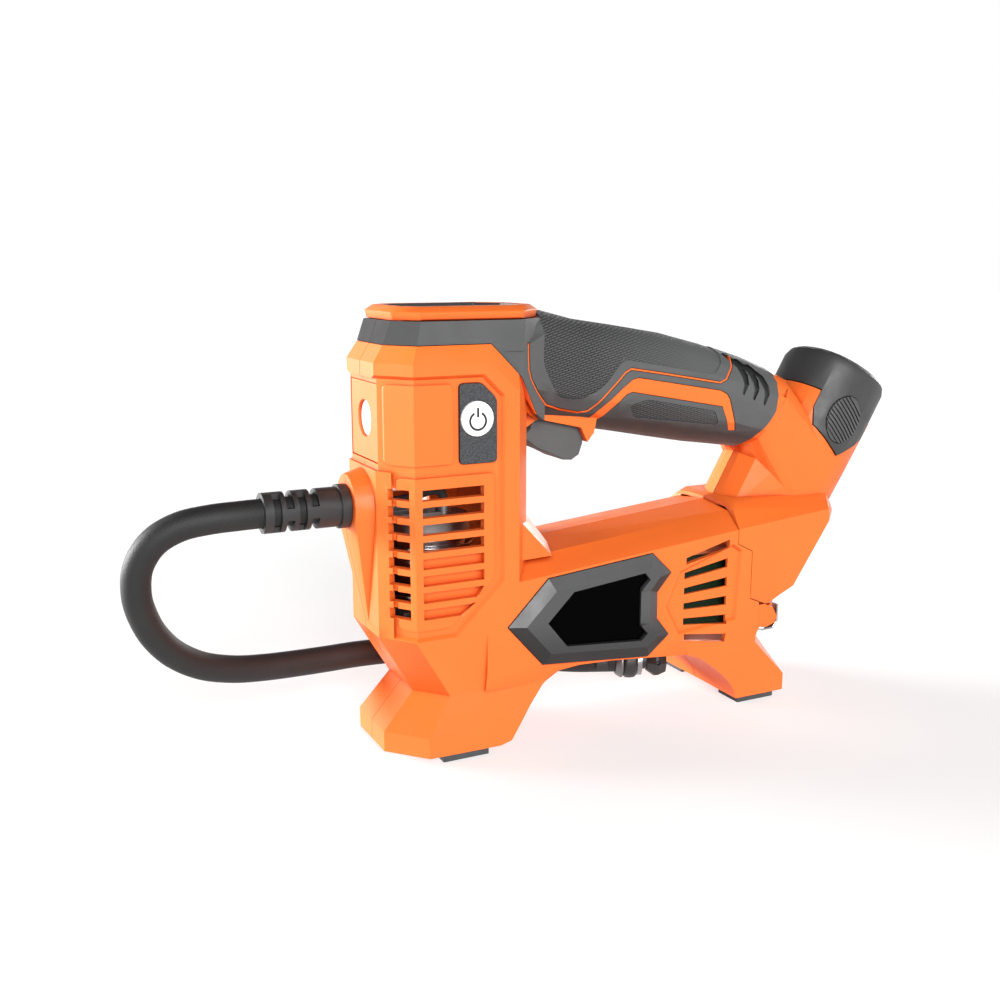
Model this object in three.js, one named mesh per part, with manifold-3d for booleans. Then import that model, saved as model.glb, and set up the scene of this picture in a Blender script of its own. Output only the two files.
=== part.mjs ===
// Portable tire inflator: a handled, battery-driven piston compressor with a hose and a chuck.
// Millimetres. x runs from the toe of the front foot to the battery, y across the object with
// the left half on -y, and z up from the floor. The last lines centre the object over its base.
import * as THREE from "three";
import { ConvexGeometry } from "three/addons/geometries/ConvexGeometry.js";
import { mergeVertices } from "three/addons/utils/BufferGeometryUtils.js";
import Module from "manifold-3d";

const wasm = await Module();
wasm.setup();

// Driving dimensions
const GAP = 0.3; // between touching pieces
const SEAM = 0.15; // each moulding stops this far from the centre plane
const WALL = 2.4; // moulded wall
const SOFT = 1.8; // thickness of the soft overmould
const HALF_WIDTH = 30.5; // flat sides of the tower and the body
const CENTRE_X = 127.6; // middle of the object's length
const RECESS = 1.3; // depth of the tower's recessed panel
const SLOT_DEPTH = 12; // reach of a cutter that goes through a wall

const PAD_HEIGHT = 3; // the feet stand on rubber pads this thick
const HOSE_Z = 104.5; // the hose leaves the tower at this height
const HOSE_RADIUS = 5.8;
const THROAT = 7.6; // the strain relief's neck in the hose outlet
const LAMP = { z: 139.4, radius: 7.5 };
const POWER = { x: 36, z: 140.6, radius: 7 };

const CYLINDER_X = 26; // upright compressor cylinder
const CRANK_Z = 42; // crankshaft
const THROW = 3.5; // crank pin offset: the stroke is twice this
const GEAR_MODULE = 0.8;
const GEAR_TEETH = 30;
const PINION_TEETH = 10;
const MOTOR_Z = CRANK_Z + (GEAR_MODULE * (GEAR_TEETH + PINION_TEETH)) / 2;
const MOTOR_RADIUS = 18;

const BATTERY = { x: 245, z: 151.5, tilt: 30, capV: 24.6, capY: 23.4 }; // top centre of the battery
const CHUCK = { x: 145, y: 4, z: 14.2, turn: -0.419 }; // head of the stowed chuck, turned in plan

// ---- Solids ----------------------------------------------------------------------------------

// A closed three.js geometry as a manifold solid with its faces pointing out.
function solid(geometry) {
  const bare = new THREE.BufferGeometry();
  bare.setAttribute("position", geometry.getAttribute("position"));
  bare.setIndex(geometry.index);
  const welded = mergeVertices(bare, 1e-4);
  const index = welded.index.array;
  const faces = [];
  for (let i = 0; i < index.length; i += 3) {
    const [a, b, c] = index.slice(i, i + 3);
    if (a !== b && b !== c && c !== a) faces.push(a, b, c);
  }
  const vertProperties = new Float32Array(welded.attributes.position.array);
  const make = (list) =>
    new wasm.Manifold(
      new wasm.Mesh({ numProp: 3, vertProperties, triVerts: new Uint32Array(list) }),
    );
  const made = make(faces);
  return made.volume() < 0 ? make(faces.reverse()) : made;
}

// A manifold solid as a geometry for a mesh.
function geometryOf(body) {
  const mesh = body.getMesh();
  const geometry = new THREE.BufferGeometry();
  geometry.setAttribute("position", new THREE.BufferAttribute(mesh.vertProperties, 3));
  geometry.setIndex(new THREE.BufferAttribute(mesh.triVerts, 1));
  const flat = geometry.toNonIndexed();
  flat.computeVertexNormals();
  return flat;
}

const join = (...bodies) => bodies.flat().reduce((all, body) => all.add(body));
const cut = (body, ...tools) => tools.flat().reduce((left, tool) => left.subtract(tool), body);
const moved = (body, matrix) => solid(geometryOf(body).applyMatrix4(matrix));
const shifted = (body, x, y, z) => moved(body, new THREE.Matrix4().makeTranslation(x, y, z));
const point = (x, y, z) => new THREE.Vector3(x, y, z);
const hull = (points) => solid(new ConvexGeometry(points));

// The points of a list on one side of the centre plane, and their mirror images.
const bothSides = (points) =>
  points.flatMap(([x, y, z]) => [point(x, y, z), point(x, -y, z)]);

// Axes of an outline's plane and of the direction that it is swept in.
const FRAMES = {
  x: [point(0, 1, 0), point(0, 0, 1), point(1, 0, 0)],
  y: [point(1, 0, 0), point(0, 0, 1), point(0, -1, 0)],
  z: [point(1, 0, 0), point(0, 1, 0), point(0, 0, 1)],
};

// An outline swept along an axis between two places on it.
function prism(outline, axis, from, to) {
  const shape = new THREE.Shape(outline.map(([a, b]) => new THREE.Vector2(a, b)));
  const geometry = new THREE.ExtrudeGeometry(shape, { depth: to - from, bevelEnabled: false });
  const matrix = new THREE.Matrix4().makeBasis(...FRAMES[axis]);
  const start = FRAMES[axis][2].clone().multiplyScalar(axis === "y" ? -to : from);
  return solid(geometry.applyMatrix4(matrix.setPosition(start)));
}

function box(x, y, z) {
  const geometry = new THREE.BoxGeometry(x[1] - x[0], y[1] - y[0], z[1] - z[0]);
  return solid(geometry.translate((x[0] + x[1]) / 2, (y[0] + y[1]) / 2, (z[0] + z[1]) / 2));
}

const TURNS = {
  x: new THREE.Matrix4().makeRotationZ(-Math.PI / 2),
  y: new THREE.Matrix4(),
  z: new THREE.Matrix4().makeRotationX(Math.PI / 2),
};

// A profile of [radius, place along the axis] turned about an axis through a point.
function turned(profile, axis, centre = [0, 0, 0], sides = 24) {
  const points = profile.map(([r, h]) => new THREE.Vector2(r, h));
  const geometry = new THREE.LatheGeometry([...points, points[0]], sides);
  return solid(geometry.applyMatrix4(TURNS[axis]).translate(...centre));
}

// A solid cylinder between two places on an axis.
function rod(axis, centre, radius, from, to, sides = 24) {
  return turned([[0, from], [radius, from], [radius, to], [0, to]], axis, centre, sides);
}

// A ring between two places on an axis.
function ring(axis, centre, inner, outer, from, to, sides = 24) {
  return turned([[inner, from], [outer, from], [outer, to], [inner, to]], axis, centre, sides);
}

// A convex outline with its edges moved outwards.
function offset(outline, distance) {
  const points = outline.map(([a, b]) => new THREE.Vector2(a, b));
  const turn = Math.sign(THREE.ShapeUtils.area(points));
  const outward = (a, b) => {
    const along = b.clone().sub(a).normalize();
    return new THREE.Vector2(along.y, -along.x).multiplyScalar(turn);
  };
  return points.map((here, i) => {
    const before = outward(points.at(i - 1), here);
    const after = outward(here, points[(i + 1) % points.length]);
    const reach = distance / (1 + before.dot(after));
    return [here.x + (before.x + after.x) * reach, here.y + (before.y + after.y) * reach];
  });
}

// A half outline in plan, given on +y from front to back, closed by its mirror image.
const plan = (half) => [...half, ...half.toReversed().map(([x, y]) => [x, -y])];

// The convex solid through plans at several heights, each plan grown and the ends left alone.
function stack(levels, grow = 0) {
  return hull(
    levels.flatMap(([z, half]) => offset(plan(half), grow).map(([x, y]) => point(x, y, z))),
  );
}

// Points of a rounded rectangle about a centre, with half axes given as vectors.
function roundRing(centre, up, side, power = 2.5, count = 18) {
  const soften = (value) => Math.sign(value) * Math.abs(value) ** (2 / power);
  return Array.from({ length: count }, (_, i) => {
    const angle = ((i + 0.5) / count) * 2 * Math.PI;
    return centre
      .clone()
      .addScaledVector(up, soften(Math.cos(angle)))
      .addScaledVector(side, soften(Math.sin(angle)));
  });
}

// A closed skin through rings that hold the same number of points.
function loft(rings) {
  const count = rings[0].length;
  const corner = (ring, i) => ring * count + (i % count);
  const faces = [];
  rings.slice(1).forEach((_, ring) => {
    for (let i = 0; i < count; i += 1) {
      faces.push(corner(ring, i), corner(ring, i + 1), corner(ring + 1, i + 1));
      faces.push(corner(ring, i), corner(ring + 1, i + 1), corner(ring + 1, i));
    }
  });
  const last = rings.length - 1;
  for (let i = 1; i < count - 1; i += 1) {
    faces.push(corner(0, 0), corner(0, i + 1), corner(0, i));
    faces.push(corner(last, 0), corner(last, i), corner(last, i + 1));
  }
  return solid(new THREE.BufferGeometry().setFromPoints(rings.flat()).setIndex(faces));
}

// ---- Outer form of the tower, the handle and the body ----------------------------------------

const TOWER_PLAN = [[-1.2, 15.8], [9.3, HALF_WIDTH], [54.4, HALF_WIDTH], [62.8, 20], [66.5, 12]];
const SHOULDER = [
  [150, [[-1.2, 15.8], [9.3, HALF_WIDTH], [54.5, HALF_WIDTH], [62.8, 20]]],
  [162.4, [[-1.2, 15.8], [9.3, HALF_WIDTH], [40.7, HALF_WIDTH]]],
  [169, [[3, 14.8], [12.2, 27.4], [43.4, 27.4], [56, 24]]],
];
const BAND = [
  [166, [[3, 14.8], [12.2, 27.4], [58, 27.4], [68, 18]]],
  [169, [[3, 14.8], [12.2, 27.4], [58, 27.4], [69, 18]]],
  [178.1, [[6.3, 15.2], [15.2, 24.4], [60, 24.4], [73, 13]]],
];
const TOWER_BACK = [
  [43, 27.4, 169], [57, 27.4, 155.2], [66, 21.5, 140], [73, 16.5, 136], [72, 19, 172], [60, 26.5, 168],
];

// Stations of the grip: top and bottom of its section on the centre plane, and half its width.
const GRIP = [
  { top: [60, 183], bottom: [60, 138], half: 24 },
  { top: [76, 181.6], bottom: [74, 134.5], half: 20 },
  { top: [92, 177.6], bottom: [92, 131], half: 17.4 },
  { top: [112, 174.6], bottom: [110, 127.8], half: 16.8 },
  { top: [136, 170.6], bottom: [132, 123.6], half: 17.2 },
  { top: [158, 165], bottom: [150, 120.3], half: 18.2 },
  { top: [182, 157.4], bottom: [165, 118.2], half: 19.4 },
  { top: [204, 148.6], bottom: [181, 115.8], half: 20.6 },
];

function gripRing({ top, bottom, half }, grow) {
  const centre = point((top[0] + bottom[0]) / 2, 0, (top[1] + bottom[1]) / 2);
  const up = point((top[0] - bottom[0]) / 2, 0, (top[1] - bottom[1]) / 2);
  up.setLength(up.length() + grow);
  return roundRing(centre, up, point(0, half + grow, 0));
}

const gripForm = (grow) => loft(GRIP.map((station) => gripRing(station, grow)));

// The whole upper skin, or a copy of it moved inwards by a negative growth.
function upperForm(grow) {
  const back = TOWER_BACK.map(([x, y, z]) => [x + (x > 60 ? grow : 0), y + 1.2 * grow, z]);
  return join(
    stack([[60, TOWER_PLAN], [150, TOWER_PLAN]], grow),
    stack(SHOULDER, grow),
    stack(BAND, grow),
    hull(bothSides(back)),
    gripForm(grow),
  );
}

const WAIST_PLAN = [[13.6, 13.6], [24.9, 26.9], [68, 28.6]];
const FOOT_TOP_PLAN = [[0.3, 15], [14, 30.7], [66, 31]];
const FOOT_PLAN = [[0.3, 14.8], [14.3, 30.4], [60, 31]];
const REAR_WAIST = [[140, 28.8], [177, 28.6], [185, 18]];
const REAR_FOOT = [[140, 31.3], [193.4, 31.3], [194.5, 22]];
const BODY_LOW = 27; // the body is deeper than the arch that is cut from it

// Half section of the body across x, from the top of the centre plane outwards.
const bodySection = (x, grow) => {
  const rise = (x - 60) / 105;
  const top = 81.5 + 10 * rise;
  const section = [
    [0, top], [19.5, top - 2.2], [HALF_WIDTH, top - 8.6], [HALF_WIDTH, 36], [28.5, BODY_LOW],
  ];
  const whole = [...section, ...section.slice(1).toReversed().map(([y, z]) => [-y, z])];
  return offset(whole, grow).map(([y, z]) => point(x, y, z));
};

const bodyForm = (from, to, grow = 0) =>
  hull([...bodySection(from, grow), ...bodySection(to, grow)]);

function lowerForm(grow) {
  return join(
    stack([[60, TOWER_PLAN], [52.5, TOWER_PLAN], [27, WAIST_PLAN]], grow),
    stack([[27, WAIST_PLAN], [11.6, FOOT_TOP_PLAN], [PAD_HEIGHT - grow, FOOT_PLAN]], grow),
    bodyForm(40, 178, grow),
    stack([[46, [[140, 30], [186, 30], [197, 18]]], [29, REAR_WAIST]], grow),
    stack([[29, REAR_WAIST], [11, REAR_FOOT], [PAD_HEIGHT - grow, REAR_FOOT]], grow),
    hull(bothSides([[56, 26, 98], [66, 12, 97], [76, 14, 83.5], [73, 24, 80], [56, 26, 80]])),
  );
}

// The open arch between the two feet.
const ARCH = [
  [46, -1], [46, 3], [51, 4.4], [55.2, 11.2], [60, 18], [66.5, 25.8], [74, 31], [84, 32],
  [100, 31.3], [124, 29], [140, 27.4], [147, 24.8], [154, 19.6], [160, 14.2], [164.4, 8.6],
  [166.4, 3], [166.4, -1],
];
const archCut = (grow) => prism(offset(ARCH, grow), "y", -50, 50);

// Flange around the hose outlet, running down into a keel.
function hoseBoss(grow) {
  const face = roundRing(point(-8.3, 0, HOSE_Z), point(0, 0, 13 + grow), point(0, 12 + grow, 0), 2);
  const root = roundRing(point(2, 0, HOSE_Z), point(0, 0, 16 + grow), point(0, 15 + grow, 0), 2);
  const keel = [[-8.2, 5, 92], [-2.2, 2.5, 64], [-1.2, 3.5, 56], [2, 12, 92], [2, 4, 54]];
  return hull([...face, ...root, ...bothSides(keel)]);
}

// Pod under the grip that the trigger comes out of.
const POD = [
  [58, 133], [67, 133], [72, 136.2], [93.2, 131.2], [96.4, 124.8], [99.6, 128.6], [102, 140], [58, 146],
];
const podForm = (grow) => prism(offset(POD, grow), "y", -12 - grow, 12 + grow);
const UNDER_POD = [[50, 100], [50, 146], [99, 132], [99, 100]]; // nothing soft below the pod

// The part of the upper skin that is the soft overmould, in side view.
const SOFT_AREA = [
  [-9, 169], [43.4, 169], [56.9, 155.2], [66, 140.6], [71, 135.6], [74, 130], [90, 100],
  [240, 100], [240, 200], [-9, 200],
];

// ---- Rear moulding: battery socket, neck and tail --------------------------------------------

const socketMatrix = new THREE.Matrix4()
  .makeRotationY(THREE.MathUtils.degToRad(BATTERY.tilt))
  .setPosition(BATTERY.x, 0, BATTERY.z);

// The tilted stick's outline swept between two places on its own axis, in its own frame.
function stick(v, y, from, to, power = 2.3) {
  const rings = [from, to].map((t) =>
    roundRing(point(0, 0, t), point(v, 0, 0), point(0, y, 0), power, 26),
  );
  return hull(rings.flat());
}

const inSocket = (body) => moved(body, socketMatrix);

function tailForm(grow) {
  const points = [
    [160, 29, 46], [184, 29.5, 46], [196, 19, 46], [204, 7, 46],
    [160, 30.5, 53], [197.5, 30.5, 53], [209, 19, 53], [217, 7, 53],
    [160, 30.5, 82.7], [216.3, 30.5, 87.6], [217.4, 30.2, 82], [229, 19, 84], [238, 7, 84],
    [160, 19.5, 88.8], [171, 19.5, 93.6], [219, 19.5, 93.8], [226, 16, 94], [234, 6, 95], [160, 1, 91],
  ];
  const pull = (value, towards) => value + grow * Math.sign(value - towards);
  return hull(bothSides(points.map(([x, y, z]) => [pull(x, 140), Math.max(y + grow, 1), pull(z, 70)])));
}

// Half sizes of the battery socket's skin at places down its axis.
const SOCKET = [
  [-21.6, 24.8, 23.6], [-46, 24.8, 22.2], [-70, 24.4, 20.8], [-92, 24, 19.6],
];
const NECK_FRONT = [
  [184.2, 4.6, 114.4], [183, 4.6, 108.5], [177.6, 4.6, 100.4], [169.6, 4.6, 88.5],
  [188.4, 12.6, 114], [184.2, 12.6, 105.4], [174.4, 12.6, 89.6],
];

const socketRing = ([t, v, y], grow) =>
  roundRing(point(0, 0, t), point(v + grow, 0, 0), point(0, y + grow, 0), 2.3, 26).map((p) =>
    p.applyMatrix4(socketMatrix),
  );

// Web between the end of the grip, the socket and the tail.
function neckForm(grow) {
  const end = gripRing(GRIP.at(-1), grow - 0.42); // just inside the end of the grip's form
  const front = NECK_FRONT.map(([x, y, z]) => [x - grow, y + grow, z]);
  return join(
    hull([...end, ...socketRing(SOCKET[1], grow), ...socketRing(SOCKET[2], grow)]),
    hull([...bothSides(front), ...socketRing(SOCKET[1], grow), ...socketRing(SOCKET[3], grow)]),
  );
}

const socketForm = (grow) => loft(SOCKET.map((level) => socketRing(level, grow)));

const rearForm = (grow) => join(socketForm(grow), neckForm(grow), tailForm(grow), gripForm(grow - 0.4));

// Side view of the space that belongs to the rear moulding.
const REAR_AREA = [
  [178.4, 112], [178.6, 118], [182.1, 122.3], [188, 128.6], [191.4, 134.1], [193.4, 142],
  [195.4, 151], [240, 200.6], [300, 200], [300, 47.5], [186.6, 47.5], [184, 45.3],
  [173, 50], [173, 72.3], [165, 76.4], [165, 83.3], [167, 90], [167, 97],
];
const rearArea = (grow) => prism(offset(REAR_AREA, grow), "y", -60, 60);

// The rear wall slopes under the socket, so its lower corner is cut away.
const UNDERCUT = [[184, 44], [188, 48.2], [197.5, 53], [218, 82.6], [260, 82.6], [260, 44]];
const UNDERCUT_WALL = [[160, 44], [181, 49], [194, 54.6], [214.4, 84.6], [260, 84.6], [260, 44]];
const tailUndercut = prism(UNDERCUT, "y", -31, 31);

// ---- Mouldings -------------------------------------------------------------------------------

// A layer of the outer skin between the surface and a depth under it.
const skinLayer = (form, depth) => cut(form(0.5), form(-depth));

const PANEL_AREA = [
  [-9, 156.5], [38.6, 156.5], [46.6, 148.6], [46.6, 74.4], [26, 54.4], [3, 54.4], [3, 120.5], [-9, 120.5],
];
const PANEL_SIDE = [
  [-9, 156.5], [38.6, 156.5], [46.6, 148.6], [46.6, 74.4], [26, 54.4], [-9, 54.4],
];
const VENT_PAD = [[4.6, 118.6], [43.4, 118.6], [43.4, 75.9], [24.4, 57.4], [4.6, 57.4]];
const SWITCH_PAD = [[1.5, 154.4], [25.6, 154.4], [25.6, 123.4], [1.5, 123.4]];
const PAD_DROP = 0.4; // the pads in the recess stand this far below the surface around it

// A convex outline with its corners rounded.
function rounded(outline, radius, steps = 3) {
  const points = outline.map(([a, b]) => new THREE.Vector2(a, b));
  return points.flatMap((corner, i) => {
    const [back, ahead] = [points.at(i - 1), points[(i + 1) % points.length]].map((other) =>
      other.clone().sub(corner).setLength(radius).add(corner),
    );
    const curve = new THREE.QuadraticBezierCurve(back, corner, ahead);
    return curve.getPoints(steps).map((p) => [p.x, p.y]);
  });
}

// A cutter for a flat recess with sloping walls: its outline grows by the depth up to the surface.
function slopedRecess(outline, depth, toSpace) {
  const floor = outline.map(([a, b]) => toSpace(a, b, -depth));
  const rim = offset(outline, depth).flatMap(([a, b]) => [toSpace(a, b, 0), toSpace(a, b, 2)]);
  return hull([...floor, ...rim]);
}

// Points on a flat side, and on the chamfer between the tower's front and its side.
const onSide = (side) => (x, z, out) => point(x, side * (HALF_WIDTH + out), z);

function onChamfer(side) {
  const front = new THREE.Vector2(-1.2, 15.8);
  const along = new THREE.Vector2(9.3, HALF_WIDTH).sub(front).normalize();
  return (s, z, out) => {
    const [x, y] = [front.x + along.x * s - along.y * out, front.y + along.y * s + along.x * out];
    return point(x, side * y, z);
  };
}

// Sloping walls of the tower's recess on its side and on its chamfer.
function recessWalls() {
  const chamfer = [[-4, 156.5], [22, 156.5], [22, 54.4], [-4, 54.4]];
  const behindKeel = prism([[3, 50], [60, 50], [60, 160], [-9, 160], [-9, 120.5], [3, 120.5]], "y", -60, 60);
  return [-1, 1].flatMap((side) => [
    slopedRecess(PANEL_SIDE, RECESS, onSide(side)),
    slopedRecess(chamfer, RECESS, onChamfer(side)).intersect(behindKeel),
  ]);
}

// Recessed panel on each side of the tower, with a pad behind the switch and one around the vents.
function panelRecess() {
  const tower = (grow) => join(stack([[40, TOWER_PLAN], [150, TOWER_PLAN]], grow), stack(SHOULDER, grow));
  const recess = skinLayer(tower, RECESS).intersect(prism(PANEL_AREA, "y", -60, 60));
  const pads = [SWITCH_PAD, VENT_PAD].map((outline) => prism(rounded(outline, 2), "y", -60, 60));
  const keep = tower(-PAD_DROP).intersect(join(...pads));
  return cut(join(recess, ...recessWalls()), keep.subtract(box([-9, 2], [-17, 17], [100, 160])));
}

const VENT_ROWS = 8;
const VENT_TOP = 114;
const VENT_PITCH = 6.85;
const VENT_HEIGHT = 4.3;
const OPEN_ROWS = 4; // the lower side vents are blind

// Vent rows on one side: -1 left, 1 right.
function towerVents(side) {
  const slots = [];
  for (let row = 0; row < VENT_ROWS; row += 1) {
    const high = VENT_TOP - VENT_PITCH * row;
    const low = high - VENT_HEIGHT;
    const back = Math.min(38.9, low - 32.5);
    const ends = row < OPEN_ROWS ? back : Math.min(38.9, high - 30.5);
    const outline = [[12.6, low], [back, low], [ends, high], [12.6, high]];
    const inner = row < OPEN_ROWS ? HALF_WIDTH - SLOT_DEPTH : HALF_WIDTH - RECESS - 1.9;
    slots.push(prism(outline, "y", ...(side < 0 ? [-40, -inner] : [inner, 40])));
    slots.push(cornerSlot(side, low, high));
  }
  return slots;
}

// A vent through the chamfer between the tower's front and its side.
function cornerSlot(side, low, high) {
  const front = new THREE.Vector2(-1.2, 15.8);
  const back = new THREE.Vector2(9.3, HALF_WIDTH);
  const along = back.clone().sub(front);
  const inward = new THREE.Vector2(along.y, -along.x).normalize().multiplyScalar(SLOT_DEPTH / 1.6);
  const a = front.clone().addScaledVector(along, 0.3);
  const b = front.clone().addScaledVector(along, 0.84);
  const outline = [
    a.clone().sub(inward), b.clone().sub(inward), b.clone().add(inward), a.clone().add(inward),
  ];
  return prism(outline.map((p) => [p.x, side * p.y]), "z", low, high);
}

const FAN_SLOTS = 6;

// Fan of slots behind the name plate.
function fanSlots(side) {
  return Array.from({ length: FAN_SLOTS }, (_, i) => {
    const slope = Math.tan(THREE.MathUtils.degToRad(13 - 4.4 * i));
    const [front, back] = [136.8, 160];
    const z = 71.6 - 7 * i;
    const rise = slope * (back - front);
    const outline = [[front, z - 1.5], [back, z + rise - 2.1], [back, z + rise + 2.1], [front, z + 1.5]];
    return prism(outline, "y", ...(side < 0 ? [-40, -HALF_WIDTH + 7] : [HALF_WIDTH - 7, 40]));
  });
}

// Shallow five-sided recess around the middle slots.
const FAN_AREA = [[128, 52], [134.5, 66.4], [162, 75.4], [166, 72.6], [164, 42], [134.5, 39.5]];
const fanRecess = () => join(...[-1, 1].map((side) => slopedRecess(FAN_AREA, 1.1, onSide(side))));

function frontCavity() {
  const inner = -(SOFT + GAP + WALL);
  const column = TOWER_PLAN;
  return join(
    stack([[60, column], [158, column]], -WALL - RECESS),
    stack([[60, column], [52.5, column], [27, WAIST_PLAN]], -WALL),
    stack([[27, WAIST_PLAN], [11.6, FOOT_TOP_PLAN], [PAD_HEIGHT + WALL, FOOT_PLAN]], -WALL),
    stack([[150, BAND[1][1]], [185, BAND[2][1]]], inner),
    gripForm(inner),
    bodyForm(40, 190, -WALL),
  );
}

const archWall = () => archCut(WALL);

const INLAY = [
  [96.8, 135.6], [99.2, 137.9], [110.8, 147.6], [115.6, 151.2], [118.7, 151.9], [161.4, 144.5],
  [164.7, 142.7], [166, 140.5], [171, 125.5], [167.3, 125.5], [162.1, 137], [116, 145.5],
  [113.3, 144.6], [101.5, 133.9],
];
const PIPING = [
  [60.6, 168.3], [60.8, 163], [61.3, 158.1], [63.1, 153.9], [67.6, 148.3], [73.7, 142.4],
  [80.8, 140], [90.3, 138], [95, 138.4], [99.1, 141.4], [103.4, 145.6], [112.3, 154.3],
  [115.2, 155.6], [129.4, 153.3], [161.1, 147.8], [164.2, 149.2], [167.6, 153], [169.7, 156.1],
  [171.4, 159.2],
];
const PIPING_WIDTH = 1.3;

// A thin closed outline that follows a line of points and runs half its width past both ends.
function ribbon(line, width) {
  const past = (end, before) => {
    const along = new THREE.Vector2(end[0] - before[0], end[1] - before[1]).setLength(width / 2);
    return [end[0] + along.x, end[1] + along.y];
  };
  const points = [past(line[0], line[1]), ...line.slice(1, -1), past(line.at(-1), line.at(-2))];
  const side = (list) =>
    list.map(([x, z], i) => {
      const before = list[Math.max(i - 1, 0)];
      const after = list[Math.min(i + 1, list.length - 1)];
      const normal = new THREE.Vector2(before[1] - after[1], after[0] - before[0]).normalize();
      return [x + (normal.x * width) / 2, z + (normal.y * width) / 2];
    });
  return [...side(points), ...side(points.toReversed())];
}

// Orange lines that stand flush in windows of the overmould.
const accentCut = (grow) =>
  join(
    [-1, 1].flatMap((side) => {
      const reach = side < 0 ? [-60, -5 + grow] : [5 - grow, 60];
      return [
        prism(offset(INLAY, grow), "y", ...reach),
        prism(ribbon(PIPING, PIPING_WIDTH + 2 * grow), "y", ...reach),
      ];
    }),
  );

const LUG = [[180, 27], [204, 24.4], [209, 26], [210.4, 29], [207.4, 34.4], [180, 37]];
const HOOK = [[212, 34], [212, 26], [209.4, 22.8], [203.5, 22.6], [198, 24.1]];

// Lug behind the rear foot for the hanging hook.
const tailLug = () => prism(LUG, "y", -5, 5);
const hangingHook = () => prism(ribbon(HOOK, 1), "y", -3.4, 3.4);

const BEZEL_REAR = 72.9; // the grip rises again behind the gauge's bezel

// Everything of the front moulding that shows, both halves in one.
function frontForm() {
  const skin = upperForm(0);
  const softArea = prism(SOFT_AREA, "y", -60, 60);
  const accents = upperForm(-0.25).intersect(accentCut(-GAP)).intersect(softArea);
  const base = cut(lowerForm(0), archCut(0));
  const top = box([-20, BEZEL_REAR], [-60, 60], [177.8, 230]);
  return cut(
    join(cut(skin, softArea), upperForm(-SOFT - GAP), accents, base, hoseBoss(0), podForm(0), tailLug()),
    rearArea(GAP),
    top,
  );
}

const TRIGGER = [
  [67.2, 128.3], [70.8, 131.6], [71.6, 141], [90, 141], [95.6, 129.6], [96, 124], [94.2, 119],
  [90.6, 116.9], [86.4, 117.3], [80.4, 120.4], [74.4, 122.9],
];
const TRIGGER_TRAVEL = 4;
const TRIGGER_HALF = 8.6;

// The slot that the trigger moves up in.
function triggerSlot() {
  const swept = hull(
    TRIGGER.flatMap(([x, z]) => [z, z + TRIGGER_TRAVEL + 1].map((h) => [x, TRIGGER_HALF, h]))
      .flatMap(([x, y, z]) => [point(x, y + 0.4, z), point(x, -y - 0.4, z)]),
  );
  const inner = box([71, 92], [-TRIGGER_HALF - 0.4, TRIGGER_HALF + 0.4], [128, 150]);
  return join(inner, swept.intersect(box([66.9, 96.4], [-12.5, 12.5], [110, 150])));
}

const SCREWS = [
  ["tower_screw", 52, 146], ["tail_screw", 182, 60],
];
const screwHole = (x, z) =>
  join(
    rod("y", [x, 0, z], 4, HALF_WIDTH - 7, HALF_WIDTH + 12, 20),
    rod("y", [x, 0, z], 1.9, 4, HALF_WIDTH, 16),
  );
const screwPost = (x, z) => rod("y", [x, 0, z], 5.6, SEAM, HALF_WIDTH - 0.6, 20);

const PLATE = rounded([[28.6, 154.4], [38, 154.4], [44.6, 148], [44.6, 123], [28.6, 123]], 1.8);

// All the space on one side of the centre plane, up to the seam.
const halfSpace = (side) => box([-30, 300], side < 0 ? [-60, -SEAM] : [SEAM, 60], [-5, 230]);

// A pad's box grown by a margin, for the seat that it sits in.
const padSeat = ({ x, y }) =>
  box([x[0] - GAP, x[1] + GAP], [y[0] - GAP, y[1] + GAP], [-3, PAD_HEIGHT + 0.4]);

// Front moulding split in halves: side -1 is the left one, which carries the power button.
function frontHousing(side) {
  const cavity = cut(frontCavity(), archWall());
  const shell = cut(
    frontForm(),
    cut(cavity, rearArea(GAP + WALL)),
    panelRecess(),
    fanRecess(),
    triggerSlot(),
    rod("x", [0, 0, HOSE_Z], THROAT + GAP, -20, 14),
    box([-3, 2.6], [-15.2, 15.2], [123, 154.6]),
    rod("x", [0, 0, LAMP.z], 10.5, 0, 12),
    ...PADS.map(padSeat),
    archHanger(),
    ...towerVents(side),
    ...fanSlots(side),
    ...trimCut(side),
  );
  const half = shell.intersect(halfSpace(side));
  if (side > 0) return finishRight(half, SCREWS.slice(0, 1));
  return cut(
    half,
    prism(offset(PLATE, GAP), "y", -40, -HALF_WIDTH + RECESS + 0.9),
    rod("y", [POWER.x, 0, POWER.z], POWER.radius + GAP, -40, -20),
  );
}

// Adds the screw posts of the right half and bores them.
function finishRight(shell, screws) {
  return screws.reduce((body, [, x, z]) => body.add(screwPost(x, z)).subtract(screwHole(x, z)), shell);
}

const PADS = [20.4, 168.6].flatMap((x) =>
  [-1, 1].map((side) => ({ x: [x, x + 20.6], y: side < 0 ? [-29.8, -15] : [15, 29.8] })),
);

// Seat for the chuck clip's stem in the underside.
function archHanger() {
  const [from, to] = CLIP.x;
  const seat = box([from - GAP, to + GAP], [-CLIP.half - GAP, CLIP.half + GAP], [10, CLIP.top + GAP]);
  return moved(seat, stowMatrix);
}

const TRIM = [
  [49.3, 53.7], [67.9, 72.2], [118.9, 77.2], [128.7, 67.6], [121.7, 59.6], [121.9, 47.4], [128.2, 39.5],
  [117.6, 30.9], [65.5, 35.4],
];
const TRIM_WINDOW = [
  [66.4, 53.9], [78.6, 65.9], [113.6, 69.8], [116.4, 66.4], [112.6, 62.6], [112.6, 45.8], [115.6, 42.4],
  [112.6, 39.6], [75.6, 42.6],
];
const TRIM_RISE = 3;
const TRIM_SEAT = 1;

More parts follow.
